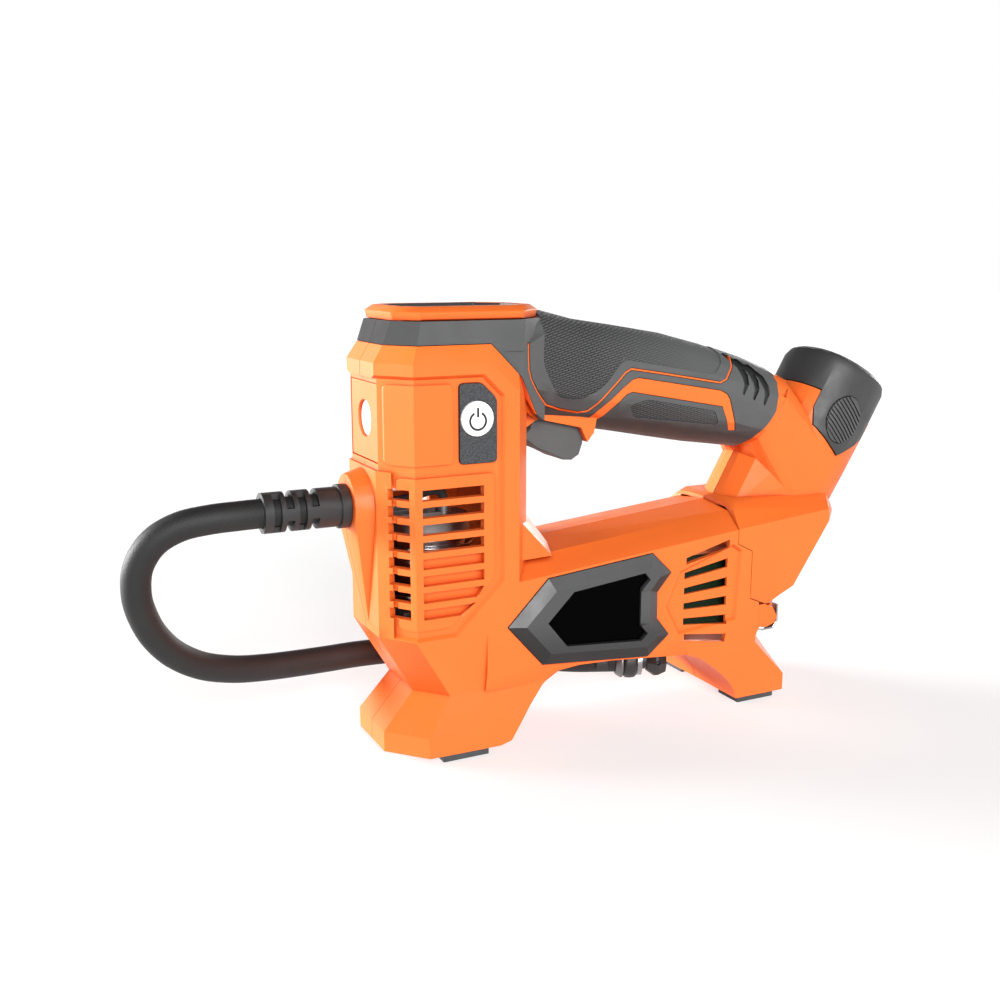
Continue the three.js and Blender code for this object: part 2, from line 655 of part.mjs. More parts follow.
// Shallow seat for the name trim.
function trimCut(side) {
  const reach = side < 0 ? [-40, -HALF_WIDTH + TRIM_SEAT] : [HALF_WIDTH - TRIM_SEAT, 40];
  return [prism(offset(TRIM, GAP), "y", ...reach)];
}

function rearHousing(side) {
  const bore = join(
    inSocket(stick(20.8, 18.6, -62, 5)),
    inSocket(box([-9, 9], [-12.6, 12.6], [-66, -60])),
  );
  const tailCavity = cut(tailForm(-WALL), inSocket(stick(23.2, 21, -68.4, 5)));
  const shell = cut(
    cut(rearForm(0), tailUndercut).intersect(rearArea(0)),
    tailCavity.subtract(prism(UNDERCUT_WALL, "y", -31, 31)),
    bore,
    ...[-1, 1].map((s) => inSocket(tabForm(GAP, s))),
  );
  const made = shell.intersect(halfSpace(side));
  return side > 0 ? finishRight(made, SCREWS.slice(1)) : made;
}

// ---- Soft overmould --------------------------------------------------------------------------

const GRIP_FIELD = [
  [71.5, 190], [71.5, 174], [69.6, 160], [78.4, 145.4], [90.3, 143.5], [100.7, 148.1],
  [111.2, 159.8], [158.7, 151.3], [164.8, 158.4], [160, 190],
];
const LOWER_FIELD = [[115, 140], [123.8, 142.1], [158.7, 135.4], [161.3, 128.6], [118, 134.4]];
const FIELD_DEPTH = 0.5;
const NOTCH_DEPTH = 1;

const NOTCH = [
  [169, 160], [174.8, 154.8], [177, 150.4], [176.3, 146], [173.6, 141.6], [172.8, 142.4],
  [173.7, 146.2], [173.6, 149.5], [171.6, 153.9], [166, 160],
];
const NOTCH_STEP = [5.6, -2.6];

// Crescent notches around the rear end of the grip.
const notches = () =>
  [0, 1, 2].map((i) => {
    const outline = NOTCH.map(([x, z]) => [x + i * NOTCH_STEP[0], z + i * NOTCH_STEP[1]]);
    return prism(outline, "y", -60, 60);
  });

function overmould(side) {
  const area = cut(prism(offset(SOFT_AREA, -GAP), "y", -60, 60), rearArea(GAP));
  const skin = cut(
    upperForm(0).intersect(area),
    upperForm(-SOFT),
    upperForm(-SOFT - GAP),
    podForm(GAP),
    prism(UNDER_POD, "y", -12.3, 12.3),
    box([-20, BEZEL_REAR], [-60, 60], [178, 230]),
  );
  const layer = skinLayer(gripForm, FIELD_DEPTH);
  const fields = join(
    prism(rounded(GRIP_FIELD, 3.6), "y", -60, 60),
    prism(rounded(LOWER_FIELD, 2), "y", -60, 60),
  );
  const grooves = skinLayer(gripForm, NOTCH_DEPTH).intersect(join(...notches()));
  return cut(skin, accentCut(0), layer.intersect(fields), grooves).intersect(halfSpace(side));
}

// ---- Gauge -----------------------------------------------------------------------------------

const BEZEL = [[7.2, 14.6], [15.6, 23.6], [59, 23.6], [71.4, 11]];
const SKIRT = [[12.4, 10.8], [18.6, 17.4], [56, 17.4], [65.4, 9.4]];

function gaugeBezel() {
  const at = (z, grow) => [z, offset(plan(BEZEL), grow).slice(0, BEZEL.length)];
  const outer = join(
    stack([at(178.4, 0), at(181.4, 0.7)]),
    stack([at(181.4, 0.7), at(183.6, -2.4)]),
  );
  const skirt = stack([[172, SKIRT], [178.6, SKIRT]]);
  const inside = offset(plan(SKIRT), -1.6).slice(0, SKIRT.length);
  const well = [stack([[170, inside], [178.4, inside]]), stack([[178.4, inside], at(190, -4.2)])];
  return cut(join(outer, skirt), ...well);
}

// A plate that fills the bezel's skirt.
const insideWell = (z, depth) => stack([[z, SKIRT], [z + depth, SKIRT]], -1.6 - GAP);

const WINDOW = [[17.5, 8.5], [21, 12], [48, 12], [48, 8]];
const BUTTON_ROW = [-7.2, 0, 7.2];
const BUTTON_X = 54;
const BUTTON_RADIUS = 2.9;

function gaugeFascia() {
  const holes = BUTTON_ROW.map((y) => rod("z", [BUTTON_X, y, 0], BUTTON_RADIUS + GAP, 160, 190, 20));
  return cut(insideWell(175.6, 2), insideWindow(170, 20, GAP), ...holes);
}

const insideWindow = (z, depth, grow) => stack([[z, WINDOW], [z + depth, WINDOW]], grow);

// ---- Trims on the sides ----------------------------------------------------------------------

const TRIM_BEVEL = 5.2;

// Outline swept outwards from its seat to a crest, with a bevel all round.
function bevelled(outline, seat, edge, crest, bevel) {
  const shape = new THREE.Shape(outline.map(([x, z]) => new THREE.Vector2(x, z)));
  const rise = crest - edge;
  const geometry = new THREE.ExtrudeGeometry(shape, {
    depth: edge - seat + rise, bevelThickness: rise, bevelSize: bevel, bevelOffset: -bevel, bevelSegments: 1,
  });
  const upright = new THREE.Matrix4().makeRotationX(Math.PI / 2).setPosition(0, -seat + rise, 0);
  return solid(geometry.applyMatrix4(upright)).intersect(box([0, 300], [-crest - 1, -seat], [0, 200]));
}

const mirrored = (body, side) =>
  side < 0 ? body : moved(body, new THREE.Matrix4().makeScale(1, -1, 1));

// The frame's rear bar is bevelled towards the window as well, so that it has a ridge.
const RIDGE = { x: [112.4, 116.6], z: [46.6, 61.8], drop: 1.7 };

function ridgeCut() {
  const [inner, ridge] = RIDGE.x;
  const crest = HALF_WIDTH + TRIM_RISE;
  return hull(
    RIDGE.z.flatMap((z) => [
      point(inner - 1, -crest - 1, z), point(ridge, -crest - 1, z),
      point(ridge, -crest, z), point(inner - 1, -crest + RIDGE.drop, z),
    ]),
  );
}

function sideTrim(side) {
  const [seat, edge, crest] = [GAP - TRIM_SEAT, 0.4, TRIM_RISE].map((out) => HALF_WIDTH + out);
  const frame = bevelled(TRIM, seat, edge, crest, TRIM_BEVEL);
  return mirrored(cut(frame, prism(TRIM_WINDOW, "y", -60, 0), ridgeCut()), side);
}

const namePlate = (side) => {
  const places = [HALF_WIDTH - TRIM_SEAT + GAP, HALF_WIDTH + 1].map((y) => side * y);
  return prism(offset(TRIM_WINDOW, -GAP), "y", Math.min(...places), Math.max(...places));
};

// ---- Battery, in its own tilted frame: z runs out of the socket ------------------------------

const TAB_INSIDE = 17.9; // the cap's tongues start this far from the centre plane
const TAB = [[-18, -21], [-18.6, -27], [-14.4, -37.6], [4, -44.5], [13, -35], [19, -28], [19, -21]];
const LATCH = { v: -2, t: -28.5, halfV: 9, halfT: 11.4 };
const CROWN = [[-21, 0], [-7, 0], [-3.4, -1.2], [-1.6, -3.4], [-1, -6.4]]; // place and growth

// The cap's tongue that reaches down each side of the socket.
function tabForm(grow, side) {
  const outline = grow ? [...offset(TAB, grow).slice(0, -1), [19 + grow, -15]] : TAB;
  outline[0] = grow ? [-18 - grow, -15] : TAB[0];
  const reach = side < 0 ? [-40, -TAB_INSIDE + grow] : [TAB_INSIDE - grow, 40];
  return prism(outline, "y", ...reach);
}

const latchOutline = (grow) =>
  Array.from({ length: 20 }, (_, i) => {
    const angle = (i / 20) * 2 * Math.PI;
    const [v, t] = [LATCH.halfV + grow, LATCH.halfT + grow];
    return [LATCH.v + v * Math.cos(angle), LATCH.t + t * Math.sin(angle)];
  });

function batteryCap() {
  const tabs = [-1, 1].map((side) =>
    tabForm(0, side).intersect(stick(BATTERY.capV, BATTERY.capY, -46, -20.6)),
  );
  const crown = loft(CROWN.map((level) => stickRing(...level)));
  const holes = [-1, 1].map((side) => latchBlock(side, GAP, TAB_INSIDE - 2, 40));
  return cut(join(crown, ...tabs), ...holes);
}

const stickRing = (t, grow) =>
  roundRing(point(0, 0, t), point(BATTERY.capV + grow, 0, 0), point(0, BATTERY.capY + grow, 0), 2.3, 26);

const latchBlock = (side, grow, from, to) =>
  prism(latchOutline(grow), "y", ...(side < 0 ? [-to, -from] : [from, to]));

const LATCH_RIBS = 11;
const RIB_PITCH = 1.75;
const RIB_LEAN = THREE.MathUtils.degToRad(24);
const LATCH_INSIDE = TAB_INSIDE + 1.9; // leaves room for the latch to be pressed in

// Oval squeeze button with ribs across it, standing a little proud of the cap.
function batteryLatch(side) {
  const skin = stick(BATTERY.capV + 0.2, BATTERY.capY + 0.2, -46, -10);
  const ribs = stick(BATTERY.capV + 0.9, BATTERY.capY + 0.9, -46, -10);
  const body = latchBlock(side, 0, LATCH_INSIDE, 40);
  const bars = Array.from({ length: LATCH_RIBS }, (_, i) => {
    const t = (i - (LATCH_RIBS - 1) / 2) * RIB_PITCH;
    return box([-20, 20], side < 0 ? [-40, -LATCH_INSIDE] : [LATCH_INSIDE, 40], [t - 0.5, t + 0.5]);
  });
  const lean = new THREE.Matrix4().makeRotationY(RIB_LEAN).setPosition(LATCH.v, 0, LATCH.t);
  return join(body.intersect(skin), body.intersect(ribs).intersect(moved(join(...bars), lean)));
}

// ---- Compressor ------------------------------------------------------------------------------

// A spur gear outline about the origin.
function gearOutline(teeth, module, phase) {
  const pitch = (teeth * module) / 2;
  const [root, tip] = [pitch - 1.2 * module, pitch + 0.9 * module];
  const step = (2 * Math.PI) / teeth;
  return Array.from({ length: teeth }, (_, i) => {
    const angle = i * step + phase;
    return [[root, -0.34], [pitch, -0.225], [tip, -0.1], [tip, 0.1], [pitch, 0.225], [root, 0.34]].map(
      ([r, share]) => [r * Math.cos(angle + share * step), r * Math.sin(angle + share * step)],
    );
  }).flat();
}

const spur = (teeth, phase, from, to) => prism(gearOutline(teeth, GEAR_MODULE, phase), "x", from, to);

const GEAR_X = [46, 53];
const SHAFT_RADIUS = 3;
const PIN_RADIUS = 2.5;
const crank = [0, 0, CRANK_Z];
const motor = [0, 0, MOTOR_Z];

const crankGear = () =>
  join(
    shifted(spur(GEAR_TEETH, Math.PI / 2, ...GEAR_X), 0, 0, CRANK_Z),
    rod("x", crank, SHAFT_RADIUS, 37.3, 56, 20),
  );

// Disc with a counterweight below and the crank pin above.
function crankDisc() {
  const below = box([30, 38], [-11, 11], [20, CRANK_Z - 2]);
  const weight = rod("x", crank, 12, 31.6, 36.9, 32).intersect(below);
  const pin = rod("x", [0, 0, CRANK_Z + THROW], PIN_RADIUS, 21.4, 32, 20);
  return join(rod("x", crank, 8, 31.6, 36.9, 24), weight, pin);
}

const PISTON_TOP = 88.6;

// Connecting rod and piston head in one piece, as in small oil-free compressors.
function pistonRod() {
  const eye = ring("x", [0, 0, CRANK_Z + THROW], PIN_RADIUS + GAP, 8, 22, 30.4, 24);
  const shank = box([23.4, 28.6], [-3.4, 3.4], [CRANK_Z + THROW + 6.6, PISTON_TOP - 5]);
  return join(eye, shank, rod("z", [CYLINDER_X, 0, 0], 10.4, PISTON_TOP - 6, PISTON_TOP, 24));
}

const pistonCup = () =>
  ring("z", [CYLINDER_X, 0, 0], 8.4, 11, PISTON_TOP + 0.3, PISTON_TOP + 1.1, 24);

const BORE = 14.8;

// Finned barrel that the piston runs in.
function cylinder() {
  const fins = [66, 71, 76, 81, 86].flatMap((z) => [[17, z], [20, z], [20, z + 1.6], [17, z + 1.6]]);
  return turned([[BORE, 62], [17, 62], ...fins, [17, 90], [BORE, 90]], "z", [CYLINDER_X, 0, 0]);
}

function cylinderHead() {
  const disc = rod("z", [CYLINDER_X, 0, 0], 18.4, 90.3, 97.6, 24);
  const nipple = rod("z", [CYLINDER_X + 8, 0, 0], 3.6, 97.4, 101.4, 20);
  const ribs = [-8, 0, 8].map((y) => box([12, 30], [y - 0.8, y + 0.8], [97, 100]));
  return join(disc, nipple, ...ribs);
}

// Plate that carries the crankshaft and the motor's nose, with a shelf under the cylinder.
function pumpFrame() {
  const plate = box([39, 45], [-17, 17], [30.6, 61.6]);
  const shelf = box([9, 45], [-17, 17], [56.4, 61.6]);
  const noseplate = box([53.8, 56.8], [-17, 17], [31, 75]);
  const rails = [[-17, -14.4], [14.4, 17]].map((y) => box([39, 56.8], y, [33, 60]));
  return cut(
    join(plate, shelf, noseplate, ...rails),
    rod("z", [CYLINDER_X, 0, 0], BORE, 50, 70, 24),
    rod("x", crank, 6.3, 30, 50, 24),
    rod("x", crank, SHAFT_RADIUS + GAP, 50, 60, 20),
    rod("x", motor, 3, 50, 60, 20),
  );
}

function motorCan() {
  const can = rod("x", motor, MOTOR_RADIUS, 57.2, 108, 24);
  return cut(can, rod("x", motor, MOTOR_RADIUS - 1.6, 59, 110, 24), rod("x", motor, 3, 50, 60, 20));
}

const armature = () =>
  cut(
    rod("x", motor, 12.6, 66, 98, 24),
    rod("x", motor, 2 + GAP, 60, 110, 16),
    ...Array.from({ length: 5 }, (_, i) => {
      const angle = (i / 5) * 2 * Math.PI;
      const at = [0, 11 * Math.cos(angle), MOTOR_Z + 11 * Math.sin(angle)];
      return rod("x", at, 2.2, 60, 110, 10);
    }),
  );

function coolingFan() {
  const blades = Array.from({ length: 6 }, (_, i) => {
    const blade = box([114, 120.5], [-1, 1], [3, 16.5]);
    const turn = new THREE.Matrix4().makeRotationX((i / 6) * 2 * Math.PI).setPosition(0, 0, MOTOR_Z);
    return moved(blade, turn);
  });
  const hub = rod("x", motor, 5, 113.4, 121, 24);
  return cut(join(hub, ...blades), rod("x", motor, 2 + GAP, 100, 117, 16));
}

const motorEnd = () =>
  cut(rod("x", motor, MOTOR_RADIUS, 108.4, 112, 24), rod("x", motor, 2.6, 100, 120, 20));

// Small gear on the end of the motor shaft, with a tooth gap over the crank gear's top tooth.
function pinion() {
  const phase = -Math.PI / 2 + Math.PI / PINION_TEETH;
  const gear = shifted(spur(PINION_TEETH, phase, ...GEAR_X), 0, 0, MOTOR_Z);
  return cut(gear, rod("x", motor, 2 + GAP, 40, 60, 16));
}

// ---- Tubes -----------------------------------------------------------------------------------

function tube(points, radius, sides, steps) {
  const centres = points.map((place) => point(...place));
  const path = new THREE.CatmullRomCurve3(centres, false, "centripetal");
  const section = new THREE.Shape(
    Array.from({ length: sides }, (_, i) => {
      const angle = (i / sides) * 2 * Math.PI;
      return new THREE.Vector2(radius * Math.cos(angle), radius * Math.sin(angle));
    }),
  );
  return solid(new THREE.ExtrudeGeometry(section, { steps, extrudePath: path, bevelEnabled: false }));
}

// The hose's centre line: out of the strain relief, round in a free loop, past the right side of
// the front foot and under the body into the chuck that is clipped there.
const HOSE_ROUTE = [
  [-8.4, 0, 104.5], [-26, 0, 104.5], [-43, 0, 104.5], [-52, 0.3, 104.3], [-62.2, 1.5, 103.7],
  [-73.5, 3.5, 101.6], [-83, 6, 96], [-88.8, 9, 86.4], [-89.8, 12, 75], [-87.4, 15.3, 64.4],
  [-82.6, 18.7, 54.2], [-74.8, 22.3, 44.7],
  [-63.6, 25.8, 37], [-50, 29, 32.3], [-36, 31.8, 30], [-22, 34, 28.8], [-8, 35.9, 28], [6, 37.2, 27.6],
  [20, 38, 26.8], [34, 38.4, 25.6], [48, 38.2, 24.2], [60, 37.2, 22.6], [72, 34.8, 20.6], [83, 31.3, 18.4],
  [93, 27, 16.4], [103, 22.6, 14.8], [112.1, 18.6, 14.2], [119.9, 15.2, 14.2],
  [127.3, 11.9, 14.2], [135.2, 8.35, 14.2],
];
const AIR_ROUTE = [
  [34, 0, 101.8], [34, 0, 105.4], [31, 0, 107.4], [24, 0, 106.6], [16, 0, 104.6], [9.6, 0, 104.5],
];

const SLEEVE_SLOTS = [-38, -33, -28, -23];
const BRIDGE = 2.4; // half width of the bridges that are left between the slots

// Sleeve with staggered slots that lets the hose bend at its exit.
function strainRelief() {
  const exit = [0, 0, HOSE_Z];
  const sleeve = ring("x", exit, HOSE_BORE, 8.1, -43, -8.7, 20);
  const collar = ring("x", exit, HOSE_BORE, 9, -12.4, -8.7, 20);
  const throat = ring("x", exit, HOSE_BORE, THROAT, -8.8, 3, 20);
  const slots = SLEEVE_SLOTS.map((x, i) => {
    const band = box([x - 1.5, x + 1.5], [-12, 12], [HOSE_Z - 12, HOSE_Z + 12]);
    const wide = [-12, 12];
    const narrow = [-BRIDGE, BRIDGE];
    const [y, z] = i % 2 ? [wide, narrow] : [narrow, wide];
    return cut(band, box([x - 2, x + 2], y, z.map((height) => HOSE_Z + height)));
  });
  return join(cut(sleeve, ...slots), collar, throat);
}

// ---- Chuck, in its own frame: x along the hose towards the mouth, y towards the lever --------

const LEVER_PIVOT = [1.5, 9.8, 0];
const HOSE_BORE = HOSE_RADIUS + GAP;
const origin = [0, 0, 0];
const stowMatrix = new THREE.Matrix4()
  .makeRotationZ(CHUCK.turn)
  .setPosition(CHUCK.x, CHUCK.y, CHUCK.z);
const leverPin = (radius, reach) => rod("z", LEVER_PIVOT, radius, -reach, reach, 14);

// Ring that is crimped on the end of the hose.
const chuckFerrule = () =>
  turned([[HOSE_BORE, -19.4], [6.8, -19.4], [8.5, -17], [8.5, -16], [HOSE_BORE, -16]], "x", origin, 20);

function chuckBody() {
  const knob = turned(
    [
      [0, -10.4], [HOSE_BORE, -10.4], [HOSE_BORE, -15.7], [7.6, -15.7], [8.5, -14.4], [8.7, -12.4],
      [8.5, -10.4], [7.4, -9.1], [7.4, -7], [4.6, -6.8], [4.6, -4], [0, -4],
    ],
    "x", origin, 20,
  );
  const profile = [[0, -4.5], [5.4, -4.5], [8.3, -0.6], [8.3, 1], [6.6, 4.6], [0, 4.6]];
  const head = turned(profile, "x", origin, 8);
  const ear = [[-1.5, 3], [-1.5, 10.6], [-0.2, 12], [2.6, 12], [3.8, 10.8], [3.8, 3]];
  const ears = [[-5.4, -3.4], [3.4, 5.4]].map(([from, to]) => prism(ear, "z", from, to));
  const slot = box([-6.6, 6], [6.4, 14], [-3.4, 3.4]);
  const mouth = rod("x", origin, 4.8, -2.6, 6);
  const bleed = rod("y", [0.4, 0, 0.8], 1.1, -10, -6.4, 10);
  return cut(join(knob, head, ...ears), slot, mouth, bleed, leverPin(1.3 + GAP, 9));
}

// Thumb lever lying along the chuck; it swings out about its pivot to lock the chuck on a valve.
function chuckLever() {
  const outline = [
    [4.2, 8.4], [4.6, 11.4], [2, 13], [-5, 12.4], [-12, 12.8], [-21, 14.4], [-21.6, 12.6], [-12, 10.6],
    [-6.2, 9.6], [-1, 7.6], [1.6, 7],
  ];
  return cut(prism(outline, "z", -3.1, 3.1), leverPin(1.3 + GAP, 9));
}

const CLIP = { x: [-29, -23.4], half: 4, top: 16.2 };

// Spring clip under the body that holds the hose just before the chuck.
function chuckClip() {
  const wrap = ring("x", origin, HOSE_BORE, HOSE_BORE + 1.9, ...CLIP.x, 24);
  const mouth = box([-40, 0], [-20, 20], [-20, -2.6]);
  const stem = box(CLIP.x, [-CLIP.half, CLIP.half], [HOSE_BORE + 0.7, CLIP.top]);
  return join(cut(wrap, mouth), stem);
}

// ---- Assembly --------------------------------------------------------------------------------

const finish = (color, roughness, metalness = 0) =>
  new THREE.MeshStandardMaterial({ color, roughness, metalness });

const LOOKS = {
  orange: finish(0xf07a35, 0.42),
  soft: finish(0x5f6062, 0.75),
  trim: finish(0x6e7072, 0.5),
  dark: finish(0x3c3d3f, 0.55),
  black: finish(0x0a0a0b, 0.15),
  white: finish(0xf4f4f2, 0.35),
  rubber: finish(0x3a3a3b, 0.85),
  steel: finish(0xb9bcc0, 0.3, 1),
  brass: finish(0xc9a24a, 0.35, 1),
  alloy: finish(0xc6c8cb, 0.4, 1),
  board: finish(0x1f5a34, 0.5),
  clear: finish(0xe8eef2, 0.1),
};

function piece(name, body, look) {
  const mesh = new THREE.Mesh(geometryOf(body), LOOKS[look].clone());
  mesh.name = name;
  return mesh;
}

function group(...children) {
  const made = new THREE.Group();
  made.add(...children);
  return made;
}

const SIDES = [["left", -1], ["right", 1]];
const pair = (name, make, look) =>
  SIDES.map(([word, side]) => piece(`${name}_${word}`, make(side), look));

const casing = () =>
  group(
    ...pair("housing", frontHousing, "orange"),
    ...pair("rear_housing", rearHousing, "orange"),
    ...pair("grip_overmold", overmould, "soft"),
    ...pair("side_trim", sideTrim, "trim"),
    ...pair("name_plate", namePlate, "black"),
    ...PADS.map(({ x, y }) => {
      const name = `foot_pad_${x[0] < 100 ? "front" : "rear"}_${y[0] < 0 ? "left" : "right"}`;
      return piece(name, box(x, y, [0, PAD_HEIGHT + 0.1]), "rubber");
    }),
    ...SCREWS.map(([name, x, z]) => piece(name, screw(x, z), "steel")),
    piece("hanging_hook", hangingHook(), "steel"),
  );

// Pan-head screw driven from the right side.
const screw = (x, z) =>
  cut(
    join(
      rod("y", [x, 0, z], 3.4, HALF_WIDTH - 6.7, HALF_WIDTH - 4.4, 20),
      rod("y", [x, 0, z], 1.6, 6, HALF_WIDTH - 6.6, 14),
    ),
    box([x - 2.2, x + 2.2], [HALF_WIDTH - 5.6, HALF_WIDTH], [z - 0.45, z + 0.45]),
    box([x - 0.45, x + 0.45], [HALF_WIDTH - 5.6, HALF_WIDTH], [z - 2.2, z + 2.2]),
  );

const frontPanel = () =>
  cut(box([0.3, 2.3], [-14.9, 14.9], [123.3, 154.3]), rod("x", [0, 0, LAMP.z], LAMP.radius, -5, 10));

const switchPlate = () =>
  cut(
    prism(PLATE, "y", -HALF_WIDTH + 0.4, -HALF_WIDTH + RECESS + 0.6),
    rod("y", [POWER.x, 0, POWER.z], POWER.radius + GAP, -40, -20),
  );

// Cup for the lamp's board, open towards the lens.
const lampModule = () =>
  cut(
    rod("x", [0, 0, LAMP.z], 10, 4.9, 11, 24),
    rod("x", [0, 0, LAMP.z], 6.4, 4, 9, 24),
  );

const powerButton = () =>
  rod("y", [POWER.x, 0, POWER.z], POWER.radius, -HALF_WIDTH - 0.3, -HALF_WIDTH + 5, 24);

const gaugeButton = (i) =>
  rod("z", [BUTTON_X, BUTTON_ROW[i], 0], BUTTON_RADIUS, 174.2, 178.6, 20);

const controls = () =>
  group(
    piece("front_panel", frontPanel(), "orange"),
    piece("work_light_lens", rod("x", [0, 0, LAMP.z], LAMP.radius - GAP, 1.6, 4.6, 24), "clear"),
    piece("work_light_module", lampModule(), "white"),
    piece("switch_plate", switchPlate(), "soft"),
    piece("power_button", powerButton(), "white"),
    piece("gauge_bezel", gaugeBezel(), "orange"),
    piece("gauge_fascia", gaugeFascia(), "dark"),
    piece("gauge_lens", insideWindow(175.9, 1.5, 0), "black"),
    piece("gauge_module", insideWell(171.6, 1.8), "board"),
    ...["mode", "minus", "plus"].map((word, i) => piece(`${word}_button`, gaugeButton(i), "trim")),
    piece("trigger", trigger(), "soft"),
    piece("trigger_switch", box([73, 91], [-6, 6], [146.6, 158]), "dark"),
    piece("control_board", box([127, 169], [-22.4, -20.8], [36, 71]), "board"),
  );

const trigger = () => prism(TRIGGER, "y", -TRIGGER_HALF, TRIGGER_HALF);

const pump = () =>
  group(
    piece("pump_frame", pumpFrame(), "alloy"),
    piece("crank_bearing", ring("x", crank, SHAFT_RADIUS + GAP, 6, 39.4, 44.6, 24), "steel"),
    piece("crank_gear", crankGear(), "steel"),
    piece("crank_disc", crankDisc(), "alloy"),
    piece("piston_rod", pistonRod(), "alloy"),
    piece("piston_cup", pistonCup(), "rubber"),
    piece("cylinder", cylinder(), "alloy"),
    piece("cylinder_head", cylinderHead(), "alloy"),
    piece("air_tube", tube(AIR_ROUTE, 2, 10, 14), "rubber"),
    piece("hose_barb", hoseBarb(), "brass"),
    piece("motor_can", motorCan(), "steel"),
    piece("motor_end_cap", motorEnd(), "dark"),
    piece("motor_shaft", rod("x", motor, 2, 45, 116.6, 16), "steel"),
    piece("armature", armature(), "steel"),
    piece("pinion", pinion(), "brass"),
    piece("cooling_fan", coolingFan(), "dark"),
  );

// Barbed tail that the hose is pushed on.
const hoseBarb = () =>
  turned(
    [[1.6, -8], [3.4, -8], [4.8, -5], [4, -5], [4.8, -1], [4, -1], [4, 4], [5.6, 4], [5.6, 9.2], [1.6, 9.2]],
    "x", [0, 0, HOSE_Z], 24,
  );

function battery() {
  const made = group(
    piece("battery_cap", batteryCap(), "dark"),
    piece("battery_stem", stick(19.6, 17.4, -60, -21.4), "dark"),
    ...pair("battery_latch", batteryLatch, "dark"),
    piece("battery_terminals", box([-8, 8], [-12, 12], [-65, -60.6]), "dark"),
  );
  made.applyMatrix4(socketMatrix);
  return made;
}

function chuck() {
  const made = group(
    piece("hose_ferrule", chuckFerrule(), "steel"),
    piece("chuck_body", chuckBody(), "dark"),
    piece("chuck_lever", chuckLever(), "dark"),
    piece("chuck_lever_pin", leverPin(1.3, 5.8), "steel"),
    piece("chuck_clip", chuckClip(), "soft"),
  );
  made.applyMatrix4(stowMatrix);
  return made;
}

const line = () =>
  group(
    piece("strain_relief", strainRelief(), "dark"),
    piece("hose", tube(HOSE_ROUTE, HOSE_RADIUS, 10, 50), "rubber"),
  );

const inflator = group(casing(), controls(), pump(), battery(), chuck(), line());
inflator.position.x = -CENTRE_X;

export default inflator;
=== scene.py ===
"""Looks of the portable tire inflator: materials, rounded edges, the hose and the printed marks.

Blender works in metres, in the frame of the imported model: x runs from the hose to the battery, the
left side with the power button faces -y, and the floor is z = 0. Outlines and routes are written in
millimetres, with x counted from the toe of the front foot.
"""

import math

import bmesh
import bpy
from mathutils import Matrix, Vector


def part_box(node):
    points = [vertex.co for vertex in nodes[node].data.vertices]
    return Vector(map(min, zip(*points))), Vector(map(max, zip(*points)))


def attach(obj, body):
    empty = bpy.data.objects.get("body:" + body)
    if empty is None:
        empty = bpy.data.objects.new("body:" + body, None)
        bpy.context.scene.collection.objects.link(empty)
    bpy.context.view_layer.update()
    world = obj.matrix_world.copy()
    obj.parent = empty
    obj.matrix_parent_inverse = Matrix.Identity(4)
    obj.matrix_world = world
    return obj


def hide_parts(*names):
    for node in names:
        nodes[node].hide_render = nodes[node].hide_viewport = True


MM = 0.001
CENTRE_X = 127.6  # from the toe of the front foot to the frame's origin

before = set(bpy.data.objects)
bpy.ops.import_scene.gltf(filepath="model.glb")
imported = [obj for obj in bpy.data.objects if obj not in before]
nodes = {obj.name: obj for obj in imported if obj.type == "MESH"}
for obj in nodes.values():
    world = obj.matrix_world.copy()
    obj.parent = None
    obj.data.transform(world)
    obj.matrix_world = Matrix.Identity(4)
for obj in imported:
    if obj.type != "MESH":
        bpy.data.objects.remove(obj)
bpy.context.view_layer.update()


def place(x, y, z):
    """A point given in millimetres from the toe of the front foot."""
    return Vector(((x - CENTRE_X) * MM, y * MM, z * MM))


# ---- Camera ---------------------------------------------------------------------------------

CAMERA_PLACE = place(-150, -430, 200)
LOOKS_DOWN = math.radians(11.75)
TURNS_RIGHT = math.radians(26.09)
LENS = 41.07  # millimetres, as is the sensor
SENSOR = 36


def add_camera():
    """The view of the photo."""
    data = bpy.data.cameras.new("camera")
    data.lens = LENS
    data.sensor_width = SENSOR
    data.clip_start = 0.01
    data.clip_end = 50
    camera = bpy.data.objects.new("camera", data)
    camera.location = CAMERA_PLACE
    camera.rotation_euler = (math.radians(90) - LOOKS_DOWN, 0, -TURNS_RIGHT)
    bpy.context.scene.collection.objects.link(camera)
    bpy.context.scene.camera = camera


# ---- Materials ------------------------------------------------------------------------------


